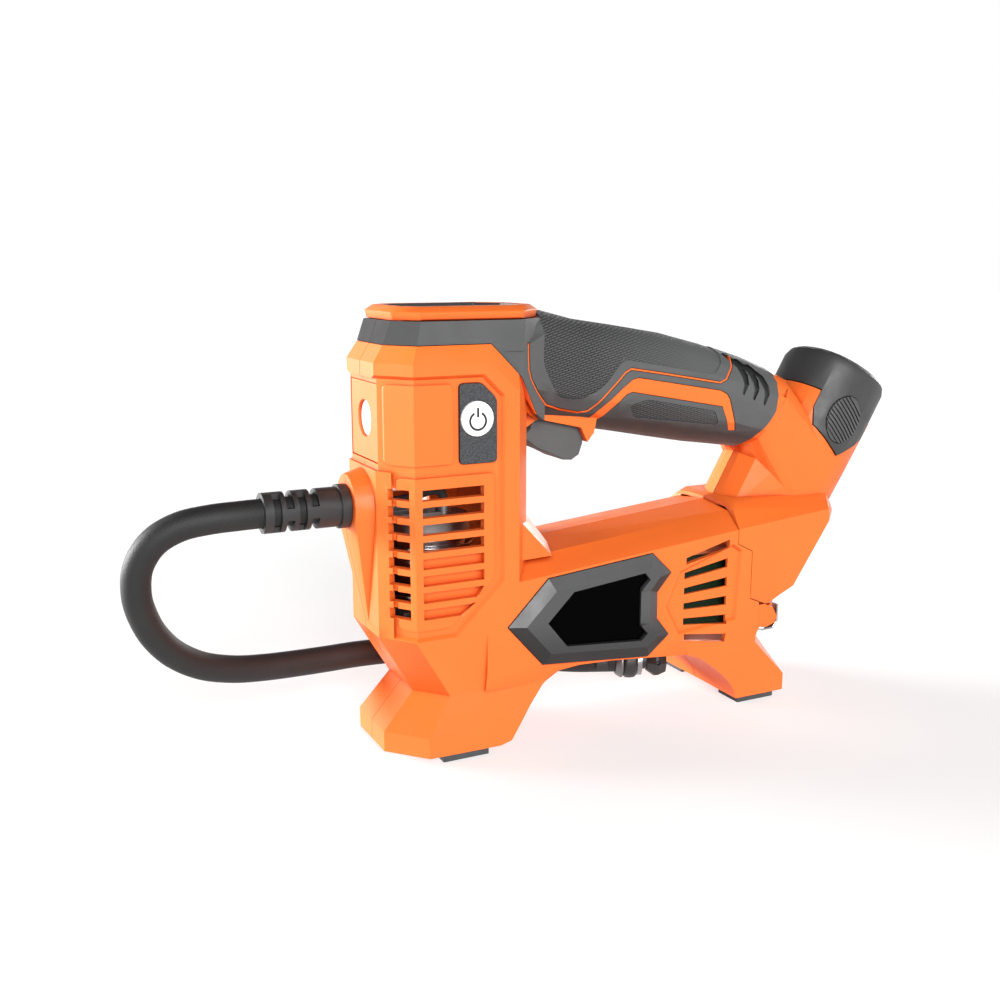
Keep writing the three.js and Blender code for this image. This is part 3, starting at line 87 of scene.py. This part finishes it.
class Finish:
    """A Principled material, with methods that add detail of a given size in millimetres."""

    def __init__(self, name, colour, roughness, metallic=0.0, **sockets):
        self.material = bpy.data.materials.new(name)
        self.material.use_nodes = True
        self.tree = self.material.node_tree
        self.shader = self.tree.nodes["Principled BSDF"]
        self.colour = colour
        self.bumped = None  # the normal with the relief so far
        self.shader.inputs["Base Color"].default_value = (*colour, 1)
        self.shader.inputs["Roughness"].default_value = roughness
        self.shader.inputs["Metallic"].default_value = metallic
        for socket, value in sockets.items():
            self.shader.inputs[socket.replace("_", " ")].default_value = value
        self.coordinates = self.node("ShaderNodeTexCoord").outputs["Object"]

    def node(self, kind, **settings):
        """A new node. A setting is the value of the socket or of the property with its name."""
        made = self.tree.nodes.new(kind)
        for key, value in settings.items():
            if key in made.inputs:
                made.inputs[key].default_value = value
            else:
                setattr(made, key, value)
        return made

    def link(self, start, end):
        self.tree.links.new(start, end)

    def noise(self, size, detail=2.0):
        """Noise with features of about that size."""
        made = self.node("ShaderNodeTexNoise", Scale=1 / (size * MM), Detail=detail)
        self.link(self.coordinates, made.inputs["Vector"])
        return made.outputs["Fac"]

    def turned(self, vector, axis, degrees):
        """The vector turned round an axis."""
        made = self.node("ShaderNodeMapping")
        made.inputs["Rotation"].default_value["XYZ".index(axis)] = math.radians(degrees)
        self.link(vector, made.inputs["Vector"])
        return made.outputs[0]

    def combine(self, operation, a, b):
        """The sum, product or other result of two values, each a number or a socket."""
        made = self.node("ShaderNodeMath", operation=operation)
        for socket, value in zip(made.inputs, (a, b)):
            if isinstance(value, (int, float)):
                socket.default_value = value
            else:
                self.link(value, socket)
        return made.outputs[0]

    def ranged(self, value, low, high, to_low=0.0, to_high=1.0):
        """The value mapped from one range to another, and held at its ends."""
        made = self.node("ShaderNodeMapRange")
        self.link(value, made.inputs["Value"])
        for key, number in (
            ("From Min", low), ("From Max", high), ("To Min", to_low), ("To Max", to_high),
        ):
            made.inputs[key].default_value = number
        return made.outputs[0]

    def mottle(self, size, share):
        """The colour wanders by that share of its brightness."""
        return self.tint(self.ranged(self.noise(size), 0.3, 0.7), share)

    def tint(self, amount, share):
        """Darkens the colour by that share where amount is 1."""
        return self.shade(amount, (1 - share,) * 3)

    def shade(self, amount, colour):
        """Multiplies the colour by another one where amount is 1."""
        base = self.shader.inputs["Base Color"]
        mix = self.node("ShaderNodeMix", data_type="RGBA", blend_type="MULTIPLY")
        if base.is_linked:
            self.link(base.links[0].from_socket, mix.inputs["A"])
        else:
            mix.inputs["A"].default_value = (*self.colour, 1)
        mix.inputs["B"].default_value = (*colour, 1)
        self.link(amount, mix.inputs["Factor"])
        self.link(mix.outputs["Result"], base)
        return self

    def crevice_shade(self, reach, colour):
        """Paints shade into seams and grooves narrower than the reach."""
        openness = self.node("ShaderNodeAmbientOcclusion", Distance=reach * MM, samples=6)
        return self.shade(self.ranged(openness.outputs["AO"], 0.9, 0.35), colour)

    def underside_shade(self, colour, start, end):
        """Paints shade on the faces that look down, from one z of their normal and in full at
        another.
        """
        axes = self.node("ShaderNodeSeparateXYZ")
        self.link(self.node("ShaderNodeNewGeometry").outputs["Normal"], axes.inputs[0])
        return self.shade(self.ranged(axes.outputs["Z"], start, end), colour)

    def wander(self, size, low, high):
        """The roughness wanders between two values."""
        drift = self.ranged(self.noise(size, 4), 0.35, 0.65, low, high)
        self.link(drift, self.shader.inputs["Roughness"])
        return self

    def relief(self, height, depth, strength=1.0):
        """A bump of that depth, on top of the ones before."""
        bump = self.node("ShaderNodeBump", Strength=strength, Distance=depth * MM)
        self.link(height, bump.inputs["Height"])
        if self.bumped:
            self.link(self.bumped, bump.inputs["Normal"])
        self.bumped = bump.outputs["Normal"]
        self.link(self.bumped, self.shader.inputs["Normal"])
        return self

    def grain(self, size, depth, strength=1.0):
        """The fine spark-eroded grain of a mould."""
        return self.relief(self.noise(size, 3), depth, strength)

    def axes(self):
        """The x, y and z of the place on the object."""
        made = self.node("ShaderNodeSeparateXYZ")
        self.link(self.coordinates, made.inputs[0])
        return made.outputs


ORANGE = (0.80, 0.150, 0.024)
SOFT_GREY = (0.074, 0.075, 0.076)
TRIM_GREY = (0.062, 0.063, 0.065)
CHARCOAL = (0.019, 0.0195, 0.020)
BLACK = (0.0005, 0.0005, 0.0006)
WHITE = (0.86, 0.86, 0.85)
STEEL = (0.56, 0.57, 0.58)

# Painted shade: what a colour is multiplied by in crevices and on faces that look down.
ORANGE_CREVICE_SHADE = (0.62, 0.34, 0.22)
ORANGE_UNDERSIDE_SHADE = (0.85, 0.55, 0.35)
GREY_CREVICE_SHADE = (0.35, 0.35, 0.35)
DARK_CREVICE_SHADE = (0.3, 0.3, 0.3)
# The rubber's painted shade has a reddish cast, painted light thrown back from the orange body.
RUBBER_UNDERSIDE_SHADE = (0.16, 0.06, 0.04)
TRIM_UNDERSIDE_SHADE = (0.20, 0.21, 0.21)
# Painted shade: the trim darkens towards its foot.
TRIM_FOOT_SHADE = (0.5, 0.5, 0.5)
TRIM_SHADE_HEIGHTS = (55 * MM, 42 * MM)  # heights between which the trim darkens towards its foot

RIB_SLOPE = 13  # degrees
RIB_UNIT = 3.6 * MM  # the sizes of the ribs are shares of it
RIB_LENGTH = 0.9
RIB_ROW = 0.27
RIB_GROOVE = 0.085

BRAID_PITCH = 4.5 * MM
TRACK_UNIT = 6 * MM


def orange_plastic():
    finish = Finish("orange_plastic", ORANGE, 0.42, Specular_IOR_Level=0.25)
    finish.mottle(30, 0.06).wander(12, 0.36, 0.48).grain(0.6, 0.05, 0.5)
    return finish.crevice_shade(3, ORANGE_CREVICE_SHADE).underside_shade(ORANGE_UNDERSIDE_SHADE, -0.15, -0.6).material


def soft_rubber():
    finish = Finish("soft_rubber", SOFT_GREY, 0.7, Sheen_Weight=0.15, Sheen_Roughness=0.5)
    finish.mottle(20, 0.1).wander(10, 0.62, 0.78).grain(0.4, 0.06, 0.6)
    return finish.crevice_shade(2, GREY_CREVICE_SHADE).underside_shade(RUBBER_UNDERSIDE_SHADE, -0.05, -0.65).material


def woven_grip(name, fade_start, fade_end):
    """Soft rubber with staggered short ribs, which fade out along the handle between two places."""
    finish = Finish(name, SOFT_GREY, 0.72, Sheen_Weight=0.12, Sheen_Roughness=0.5)
    side_view = finish.turned(finish.coordinates, "X", 90)
    ribs = finish.node("ShaderNodeTexBrick", offset=0.5, Scale=1 / RIB_UNIT)
    ribs.inputs["Brick Width"].default_value = RIB_LENGTH
    ribs.inputs["Row Height"].default_value = RIB_ROW
    ribs.inputs["Mortar Size"].default_value = RIB_GROOVE
    ribs.inputs["Mortar Smooth"].default_value = 0.4
    finish.link(finish.turned(side_view, "Z", RIB_SLOPE), ribs.inputs["Vector"])
    ends = (place(fade_start, 0, 0).x, place(fade_end, 0, 0).x)
    fade = finish.ranged(finish.axes()["X"], *ends, 1.0, 0.12)
    grooves = finish.combine("MULTIPLY", ribs.outputs["Fac"], fade)
    # Darkening the grooves between the ribs is painted shade.
    finish.tint(grooves, 0.9)
    finish.relief(finish.combine("SUBTRACT", 1.0, grooves), 0.4)
    return finish.grain(0.4, 0.05, 0.5).underside_shade(RUBBER_UNDERSIDE_SHADE, -0.05, -0.65).material


def trim_plastic():
    finish = Finish("trim_plastic", TRIM_GREY, 0.45, Specular_IOR_Level=0.5)
    finish.mottle(30, 0.08).wander(10, 0.4, 0.52).grain(0.5, 0.05, 0.5)
    finish.crevice_shade(2, GREY_CREVICE_SHADE)
    # Painted shade, darker towards the trim's foot.
    finish.shade(finish.ranged(finish.axes()["Z"], *TRIM_SHADE_HEIGHTS), TRIM_FOOT_SHADE)
    return finish.underside_shade(TRIM_UNDERSIDE_SHADE, 0.02, -0.1).material


def dark_plastic():
    return moulded("dark_plastic", CHARCOAL)


def moulded(name, colour):
    """Stiff moulded plastic with a fine mould grain."""
    finish = Finish(name, colour, 0.48)
    finish.mottle(20, 0.15).wander(10, 0.42, 0.56).grain(0.5, 0.06, 0.6)
    return finish.crevice_shade(1.2, DARK_CREVICE_SHADE).material


def speckled_plate():
    """Charcoal plate with the coarse sparkle of a heavy mould grain."""
    finish = Finish("speckled_plate", (0.045, 0.047, 0.052), 0.5)
    specks = finish.noise(0.55, 1)
    finish.tint(finish.ranged(specks, 0.42, 0.6), 0.6)
    return finish.relief(specks, 0.25).material


def gloss_black():
    finish = Finish("gloss_black", BLACK, 0.14, Specular_IOR_Level=0.02)
    return finish.mottle(20, 0.2).grain(4, 0.02, 0.3).material


def white_plastic():
    finish = Finish("white_plastic", WHITE, 0.35)
    return finish.mottle(10, 0.04).grain(0.6, 0.03, 0.4).material


def lamp_lens():
    finish = Finish("lamp_lens", (0.9, 0.9, 0.88), 0.25, Transmission_Weight=0.25)
    finish.shader.inputs["Emission Color"].default_value = (1, 1, 1, 1)
    finish.shader.inputs["Emission Strength"].default_value = 0.35
    return finish.relief(finish.noise(1.2, 1), 0.2).material


def hose_rubber():
    """Black rubber hose with the faint weave of its braid showing through."""
    finish = Finish("hose_rubber", (0.017, 0.0165, 0.0165), 0.6, Specular_IOR_Level=0.35)
    uv = finish.node("ShaderNodeTexCoord").outputs["UV"]
    weave = []
    for turn in (45, -45):
        wave = finish.node("ShaderNodeTexWave", Scale=1 / BRAID_PITCH, wave_profile="SIN")
        finish.link(finish.turned(uv, "Z", turn), wave.inputs["Vector"])
        weave.append(wave.outputs["Fac"])
    crossed = finish.combine("MULTIPLY", *weave)
    finish.mottle(15, 0.2)
    finish.tint(finish.ranged(crossed, 0.5, 0.0), 0.10)
    return finish.relief(crossed, 0.04).grain(0.5, 0.08, 0.6).material


def foot_rubber():
    finish = Finish("foot_rubber", (0.055, 0.055, 0.058), 0.85)
    return finish.mottle(8, 0.2).grain(0.7, 0.15).material


def metal(name, colour, roughness, spacing):
    """Metal with fine turning marks of that spacing in millimetres."""
    finish = Finish(name, colour, roughness, 1.0)
    finish.mottle(6, 0.12).wander(4, roughness * 0.8, roughness * 1.3)
    return finish.grain(spacing, 0.04, 0.6).material


def circuit_board():
    """Green solder mask over copper tracks."""
    finish = Finish("circuit_board", (0.003, 0.024, 0.007), 0.4)
    tracks = finish.node("ShaderNodeTexBrick", offset=0.3, Scale=1 / TRACK_UNIT)
    tracks.inputs["Mortar Size"].default_value = 0.06
    finish.link(finish.turned(finish.coordinates, "X", 90), tracks.inputs["Vector"])
    finish.tint(tracks.outputs["Fac"], 0.5)
    return finish.relief(tracks.outputs["Fac"], 0.1).material


def printed(name, colour):
    """Ink or paint of a printed mark."""
    finish = Finish(name, colour, 0.5)
    return finish.mottle(2, 0.08).grain(0.3, 0.02, 0.4).material


def floor_finish():
    """Pale grey with a faint glow, so that the shadows on it stay soft."""
    finish = Finish("floor", (0.50, 0.50, 0.50), 0.7, Specular_IOR_Level=0.0)
    finish.shader.inputs["Emission Color"].default_value = (1, 1, 1, 1)
    finish.shader.inputs["Emission Strength"].default_value = 0.55
    return finish.mottle(200, 0.01).grain(2, 0.05, 0.3).material


# ---- Shaping tools --------------------------------------------------------------------------

WELD_DISTANCE = 0.04 * MM


def modifier(obj, kind, **settings):
    made = obj.modifiers.new(kind.lower(), kind)
    for key, value in settings.items():
        setattr(made, key, value)
    return made


def round_edges(obj, width, angle):
    """Rounds the edges sharper than an angle in degrees, and keeps the faces between them flat."""
    mesh = obj.data
    if "custom_normal" in mesh.attributes:
        mesh.attributes.remove(mesh.attributes["custom_normal"])
    for face in mesh.polygons:
        face.use_smooth = True
    modifier(obj, "WELD", merge_threshold=WELD_DISTANCE)
    modifier(
        obj, "BEVEL", width=width, segments=2, limit_method="ANGLE",
        angle_limit=math.radians(angle), use_clamp_overlap=True, miter_outer="MITER_ARC",
    )
    modifier(obj, "WEIGHTED_NORMAL", keep_sharp=False, weight=60)


def mesh_piece(name, bm, material, body):
    """A new piece from a bmesh that rides on a CAD body."""
    mesh = bpy.data.meshes.new(name)
    bmesh.ops.recalc_face_normals(bm, faces=bm.faces)
    bm.to_mesh(mesh)
    bm.free()
    obj = bpy.data.objects.new(name, mesh)
    bpy.context.scene.collection.objects.link(obj)
    mesh.materials.append(material)
    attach(obj, body)
    return obj


def stroke(bm, line, width, at):
    """A flat bar of ink along a line of 2D points in the plane that the matrix sets."""
    points = [Vector((*p, 0)) for p in line]
    up = Vector((0, 0, INK))
    rings = []
    for i, here in enumerate(points):
        before = points[max(i - 1, 0)]
        after = points[min(i + 1, len(points) - 1)]
        along = (after - before).normalized()
        side = Vector((-along.y, along.x, 0)) * width / 2
        corners = (here - side, here + side, here + side + up, here - side + up)
        rings.append([bm.verts.new(at @ corner) for corner in corners])
    for a, b in zip(rings, rings[1:]):
        for k in range(4):
            bm.faces.new((a[k], a[(k + 1) % 4], b[(k + 1) % 4], b[k]))
    bm.faces.new(rings[0][::-1])
    bm.faces.new(rings[-1])


def smooth_route(points, per_span=6):
    """A Catmull-Rom curve through the points."""
    line = []
    for i in range(len(points) - 1):
        a = points[max(i - 1, 0)]
        b, c = points[i], points[i + 1]
        d = points[min(i + 2, len(points) - 1)]
        linear = c - a
        square = 2 * a - 5 * b + 4 * c - d
        cube = 3 * b - a - 3 * c + d
        for k in range(per_span):
            t = k / per_span
            line.append(0.5 * (2 * b + linear * t + square * t * t + cube * t ** 3))
    return [*line, points[-1]]


def tube(name, line, radius, sides, material, body):
    """A closed tube along a line, with its UV map in metres round and along it, and its length."""
    bm = bmesh.new()
    uv = bm.loops.layers.uv.new("UVMap")
    rings = []
    along = 0.0
    places = []
    side = Vector((0, 0, 1))
    for i, here in enumerate(line):
        ahead = (line[min(i + 1, len(line) - 1)] - line[max(i - 1, 0)]).normalized()
        side = (side - ahead * side.dot(ahead)).normalized()
        across = ahead.cross(side)
        if i:
            along += (here - line[i - 1]).length
        places.append(along)
        ring = []
        for k in range(sides):
            angle = 2 * math.pi * k / sides
            outward = side * math.cos(angle) + across * math.sin(angle)
            ring.append(bm.verts.new(here + outward * radius))
        rings.append(ring)
    girth = 2 * math.pi * radius
    for i in range(len(rings) - 1):
        for k in range(sides):
            n = (k + 1) % sides
            face = bm.faces.new((rings[i][k], rings[i][n], rings[i + 1][n], rings[i + 1][k]))
            face.smooth = True
            corners = ((k, i), (k + 1, i), (k + 1, i + 1), (k, i + 1))
            for loop, (turn, step) in zip(face.loops, corners):
                loop[uv].uv = (girth * turn / sides, places[step])
    bm.faces.new(rings[0][::-1])
    bm.faces.new(rings[-1])
    return mesh_piece(name, bm, material, body), along


# ---- Hose -----------------------------------------------------------------------------------

HOSE_RADIUS = 5.8 * MM
HOSE_SIDES = 32
HOSE_ROUTE = [
    (-8.4, 0, 104.5), (-26, 0, 104.5), (-43, 0, 104.5), (-52, 0.3, 104.3), (-62.2, 1.5, 103.7),
    (-73.5, 3.5, 101.6), (-83, 6, 96), (-88.8, 9, 86.4), (-89.8, 12, 75), (-87.4, 15.3, 64.4),
    (-82.6, 18.7, 54.2), (-74.8, 22.3, 44.7), (-63.6, 25.8, 37), (-50, 29, 32.3), (-36, 31.8, 30),
    (-22, 34, 28.8), (-8, 35.9, 28), (6, 37.2, 27.6), (20, 38, 26.8), (34, 38.4, 25.6),
    (48, 38.2, 24.2), (60, 37.2, 22.6), (72, 34.8, 20.6), (83, 31.3, 18.4), (93, 27, 16.4),
    (103, 22.6, 14.8), (112.1, 18.6, 14.2), (119.9, 15.2, 14.2), (127.3, 11.9, 14.2),
    (135.2, 8.35, 14.2),
]


def add_hose():
    """The hose from its strain relief, in a loop and under the body to the chuck."""
    line = smooth_route([place(*p) for p in HOSE_ROUTE])
    hose, length = tube("air_hose", line, HOSE_RADIUS, HOSE_SIDES, hose_rubber(), "frame")
    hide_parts("hose")


# ---- Finishes of the CAD nodes --------------------------------------------------------------

SIDES = ("left", "right")


def sided(*names):
    """The names of the left and the right one of each pair."""
    return [f"{name}_{side}" for name in names for side in SIDES]


# The maker of each finish, the radius of its rounded edges, and its nodes.
FINISHES = [
    (orange_plastic, 0.45 * MM, sided("housing", "rear_housing")),
    (orange_plastic, 0.6 * MM, ["gauge_bezel"]),
    (orange_plastic, 0.3 * MM, ["front_panel"]),
    (soft_rubber, 0.7 * MM, sided("grip_overmold")),
    (soft_rubber, 0.3 * MM, ["trigger"]),
    (trim_plastic, 0.5 * MM, [*sided("side_trim"), "mode_button", "minus_button", "plus_button"]),
    (speckled_plate, 0.4 * MM, ["switch_plate"]),
    (
        dark_plastic, 0.5 * MM,
        [
            "battery_stem", "battery_terminals", "strain_relief", "gauge_fascia", "chuck_body",
            "chuck_lever", "chuck_clip", "motor_end_cap", "cooling_fan", "trigger_switch",
        ],
    ),
    # The cap and the latches are lighter copies of the dark plastic, which paint light on them, the
    # latches the most.
    (lambda: moulded("lit_cap_plastic", (0.036, 0.0362, 0.0366)), 1.2 * MM, ["battery_cap"]),
    (lambda: moulded("lit_latch_plastic", (0.064, 0.064, 0.066)), 0.25 * MM, sided("battery_latch")),
    (gloss_black, 0.2 * MM, [*sided("name_plate"), "gauge_lens"]),
    (white_plastic, 0.5 * MM, ["power_button", "work_light_module"]),
    (lamp_lens, 0.3 * MM, ["work_light_lens"]),
    (foot_rubber, 0.5 * MM, sided("foot_pad_front", "foot_pad_rear")),
    (foot_rubber, 0.1 * MM, ["air_tube", "piston_cup"]),
    (circuit_board, 0.2 * MM, ["control_board", "gauge_module"]),
    (
        lambda: metal("steel", STEEL, 0.32, 0.4), 0.25 * MM,
        [
            "tower_screw", "tail_screw", "hanging_hook", "crank_bearing", "crank_gear",
            "motor_can", "motor_shaft", "armature", "chuck_lever_pin",
        ],
    ),
    (
        lambda: metal("cast_alloy", (0.30, 0.295, 0.29), 0.42, 0.9), 0.4 * MM,
        ["pump_frame", "crank_disc", "piston_rod", "cylinder_head"],
    ),
    (lambda: metal("barrel", (0.42, 0.41, 0.41), 0.2, 0.4), 0.3 * MM, ["cylinder"]),
    (lambda: metal("dark_nickel", (0.20, 0.20, 0.205), 0.38, 0.5), 0.25 * MM, ["hose_ferrule"]),
    (lambda: metal("brass", (0.62, 0.44, 0.16), 0.35, 0.4), 0.2 * MM, ["hose_barb", "pinion"]),
]

# Edges sharper than these angles in degrees are rounded. The trim's facets meet at small angles.
CRISP = sided("side_trim")
CRISP_ANGLE = 8
SOFT_ANGLE = 28


def finish_nodes():
    """Gives each CAD node its material and its rounded edges."""
    for make, radius, names in FINISHES:
        material = make()
        for name in names:
            obj = nodes[name]
            obj.data.materials.clear()
            obj.data.materials.append(material)
            round_edges(obj, radius, CRISP_ANGLE if name in CRISP else SOFT_ANGLE)


def paint(name, material, chosen):
    """Gives a second finish to the faces of a node that the test picks."""
    mesh = nodes[name].data
    slot = len(mesh.materials)
    mesh.materials.append(material)
    for face in mesh.polygons:
        if chosen(face):
            face.material_index = slot


CHUCK = place(145, 4, 14.2)
CHUCK_TURN = -0.419  # radians
COLLAR = (-9.2 * MM, -6.9 * MM)  # the bright collar's reach along the chuck


def polish_collar():
    """The collar between the chuck's knob and its head is bare metal."""
    along = Vector((math.cos(CHUCK_TURN), math.sin(CHUCK_TURN), 0))

    def on_collar(face):
        return COLLAR[0] < (face.center - CHUCK).dot(along) < COLLAR[1]

    paint("chuck_body", metal("collar_metal", (0.34, 0.34, 0.35), 0.3, 0.4), on_collar)


LEVEL = 0.95  # the z of a normal from which a face counts as level


def darken_well():
    """The walls of the gauge's well are dark, down to the display."""
    lo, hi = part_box("gauge_bezel")
    centre = (lo + hi) / 2

    def in_well(face):
        outward = (face.center - centre).xy.dot(face.normal.xy)
        return outward < 0 and abs(face.normal.z) < LEVEL

    paint("gauge_bezel", dark_plastic(), in_well)


# Outlines in side view of the two textured fields and of the first notch of the grip.
GRIP_FIELD = [
    (71.5, 190), (71.5, 174), (69.6, 160), (78.4, 145.4), (90.3, 143.5), (100.7, 148.1),
    (111.2, 159.8), (158.7, 151.3), (164.8, 158.4), (160, 190),
]
LOWER_FIELD = [(115, 140), (123.8, 142.1), (158.7, 135.4), (161.3, 128.6), (118, 134.4)]
NOTCH = [
    (169, 160), (174.8, 154.8), (177, 150.4), (176.3, 146), (173.6, 141.6), (172.8, 142.4),
    (173.7, 146.2), (173.6, 149.5), (171.6, 153.9), (166, 160),
]
NOTCHES = 3
NOTCH_STEP = (5.6, -2.6)


def inside(outline, x, z):
    """Whether a point lies inside a closed outline."""
    within = False
    for (ax, az), (bx, bz) in zip(outline, [*outline[1:], outline[0]]):
        if (az > z) != (bz > z) and x < ax + (z - az) * (bx - ax) / (bz - az):
            within = not within
    return within


def paint_inside(name, outlines, material):
    """Gives a second finish to the faces with their middle inside an outline in side view."""

    def in_outline(face):
        x, z = face.center.x / MM + CENTRE_X, face.center.z / MM
        return any(inside(outline, x, z) for outline in outlines)

    paint(name, material, in_outline)


def texture_grip():
    """Woven ribs on the grip's two fields, and dark plastic on the floors of its notches as painted
    shade.
    """
    step_x, step_z = NOTCH_STEP
    notches = [[(x + i * step_x, z + i * step_z) for x, z in NOTCH] for i in range(NOTCHES)]
    textures = (
        ([GRIP_FIELD], woven_grip("grip_weave", 96, 150)),
        ([LOWER_FIELD], woven_grip("lower_weave", 120, 200)),
        # The notches' dark floors are painted shade.
        (notches, dark_plastic()),
    )
    for name in sided("grip_overmold"):
        for outlines, material in textures:
            paint_inside(name, outlines, material)


# ---- Printed marks --------------------------------------------------------------------------

INK = 0.12 * MM  # how far a mark stands proud

RING_RADIUS = 3.4 * MM
RING_WIDTH = 0.85 * MM
RING_GAP = 28  # degrees from the top to each end of the ring
RING_DROP = 0.9 * MM  # from the middle of the button to that of the ring
BAR_ENDS = (1.5 * MM, 5.2 * MM)  # up from the middle of the ring
BAR_WIDTH = 0.9 * MM


def arc(radius, start, end, steps):
    """Points on a circle, with the angles in degrees clockwise from the top."""
    return [
        (radius * math.sin(math.radians(a)), radius * math.cos(math.radians(a)))
        for a in (start + (end - start) * i / steps for i in range(steps + 1))
    ]


def add_power_mark():
    """The usual power sign: an open ring with a bar in the gap."""
    lo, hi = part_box("power_button")
    centre = (lo + hi) / 2
    bm = bmesh.new()
    upright = Matrix.Rotation(math.radians(90), 4, "X")
    at = Matrix.Translation((centre.x, lo.y, centre.z - RING_DROP)) @ upright
    stroke(bm, arc(RING_RADIUS, RING_GAP, 360 - RING_GAP, 40), RING_WIDTH, at)
    stroke(bm, [(0, end) for end in BAR_ENDS], BAR_WIDTH, at)
    mesh_piece("power_mark", bm, printed("black_ink", (0.006, 0.006, 0.007)), "power_body")


SIGN_REACH = 1.1 * MM
SIGN_WIDTH = 0.5 * MM
DOT_REACH = 0.6 * MM


def add_button_marks():
    """A dot, a minus and a plus on the gauge's three buttons."""
    ink = printed("white_ink", (0.8, 0.8, 0.8))
    dot = [(0, -DOT_REACH), (0, DOT_REACH)]
    across = [(0, -SIGN_REACH), (0, SIGN_REACH)]
    along = [(-SIGN_REACH, 0), (SIGN_REACH, 0)]
    marks = {"mode": [dot], "minus": [across], "plus": [across, along]}
    for name, lines in marks.items():
        lo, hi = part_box(f"{name}_button")
        bm = bmesh.new()
        at = Matrix.Translation(((lo.x + hi.x) / 2, (lo.y + hi.y) / 2, hi.z))
        for line in lines:
            stroke(bm, line, SIGN_WIDTH, at)
        mesh_piece(f"{name}_mark", bm, ink, f"{name}_body")


# Ends of the bars of a seven-segment digit, on a grid one wide and two high.
SEGMENTS = {
    "top": ((0, 2), (1, 2)), "middle": ((0, 1), (1, 1)), "bottom": ((0, 0), (1, 0)),
    "high_left": ((0, 1), (0, 2)), "high_right": ((1, 1), (1, 2)),
    "low_left": ((0, 0), (0, 1)), "low_right": ((1, 0), (1, 1)),
}
DIGITS = {
    "3": ("top", "middle", "bottom", "high_right", "low_right"),
    "5": ("top", "middle", "bottom", "high_left", "low_right"),
    "0": ("top", "bottom", "high_left", "high_right", "low_left", "low_right"),
}
DIGIT = 3.4 * MM
DIGIT_PITCH = 1.7 * DIGIT
SEGMENT_WIDTH = 0.7 * MM
POINT_SIZE = 0.6 * MM


def add_readout():
    """A pressure of 35.0 on the display, read from the rear."""
    lo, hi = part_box("gauge_lens")
    centre = (lo + hi) / 2
    faces_rear = Matrix.Rotation(math.radians(-90), 4, "Z")
    at = Matrix.Translation((centre.x - 2 * MM, centre.y, hi.z)) @ faces_rear
    bm = bmesh.new()
    for i, digit in enumerate("350"):
        left = (i - 1.5) * DIGIT_PITCH + (DIGIT_PITCH - DIGIT) / 2
        for name in DIGITS[digit]:
            start, end = (Vector((left + x * DIGIT, (y - 1) * DIGIT)) for x, y in SEGMENTS[name])
            gap = (end - start) * 0.1
            stroke(bm, [start + gap, end - gap], SEGMENT_WIDTH, at)
    point = 0.5 * DIGIT_PITCH + 0.02 * DIGIT
    dot = [(point - POINT_SIZE / 2, -DIGIT), (point + POINT_SIZE / 2, -DIGIT)]
    stroke(bm, dot, POINT_SIZE, at)
    mesh_piece("gauge_readout", bm, printed("display_white", (0.75, 0.82, 0.85)), "frame")


# ---- Studio ---------------------------------------------------------------------------------

# Each light's direction from the object, and its strength: 1 fully lights a facing white surface.
LIGHTS = {
    "side_key": ((-0.22, -0.90, 0.38), 1.15),
    "rear_key": ((0.80, 0.60, 0.03), 0.6),
    "front_key": ((-0.77, 0.63, 0.06), 4.2),
}
LIGHT_SPREAD = 30
# The front light is flagged off from the rear of the left side and from the soft parts.
FRONT_LIT = [
    *sided("housing", "foot_pad_front"), "front_panel", "gauge_bezel", "work_light_lens",
    "rear_housing_right", "foot_pad_rear_right", "side_trim_right", "strain_relief", "air_hose",
    "floor",
]
HORIZON = (0.24, 0.5)  # heights in the sky between which the surround dims to the ceiling
CEILING = 0.04
FLOOR_REACH = 6


def add_studio():
    """A white floor and surround, with soft lights from the side, the rear and the front."""
    bm = bmesh.new()
    bmesh.ops.create_grid(bm, x_segments=8, y_segments=8, size=FLOOR_REACH)
    mesh = bpy.data.meshes.new("floor")
    bm.to_mesh(mesh)
    bm.free()
    floor = bpy.data.objects.new("floor", mesh)
    mesh.materials.append(floor_finish())
    bpy.context.scene.collection.objects.link(floor)

    add_sky()
    lights = {name: add_sun(name, *light) for name, light in LIGHTS.items()}
    lit = bpy.data.collections.new("front_lit")
    for name in FRONT_LIT:
        lit.objects.link(nodes[name] if name in nodes else bpy.data.objects[name])
    lights["front_key"].light_linking.receiver_collection = lit


def add_sun(name, towards, strength):
    data = bpy.data.lights.new(name, "SUN")
    data.energy = strength * math.pi
    data.angle = math.radians(LIGHT_SPREAD)
    sun = bpy.data.objects.new(name, data)
    sun.rotation_mode = "QUATERNION"
    sun.rotation_quaternion = Vector(towards).to_track_quat("Z", "Y")
    bpy.context.scene.collection.objects.link(sun)
    return sun


def add_sky():
    """A white surround up to a little above the horizon, and a dimmer ceiling."""
    world = bpy.data.worlds.new("studio")
    world.use_nodes = True
    tree = world.node_tree
    background = tree.nodes["Background"]
    background.inputs["Color"].default_value = (1, 1, 1, 1)
    coordinates = tree.nodes.new("ShaderNodeTexCoord")
    axes = tree.nodes.new("ShaderNodeSeparateXYZ")
    ramp = tree.nodes.new("ShaderNodeMapRange")
    ramp.inputs["From Min"].default_value = HORIZON[0]
    ramp.inputs["From Max"].default_value = HORIZON[1]
    ramp.inputs["To Min"].default_value = 1.0
    ramp.inputs["To Max"].default_value = CEILING
    tree.links.new(coordinates.outputs["Generated"], axes.inputs[0])
    tree.links.new(axes.outputs["Z"], ramp.inputs["Value"])
    tree.links.new(ramp.outputs[0], background.inputs["Strength"])
    bpy.context.scene.world = world
    bpy.context.scene.view_settings.view_transform = "Standard"


# ---- Scene ----------------------------------------------------------------------------------

add_camera()
add_hose()
finish_nodes()
polish_collar()
darken_well()
texture_grip()
add_power_mark()
add_button_marks()
add_readout()
add_studio()
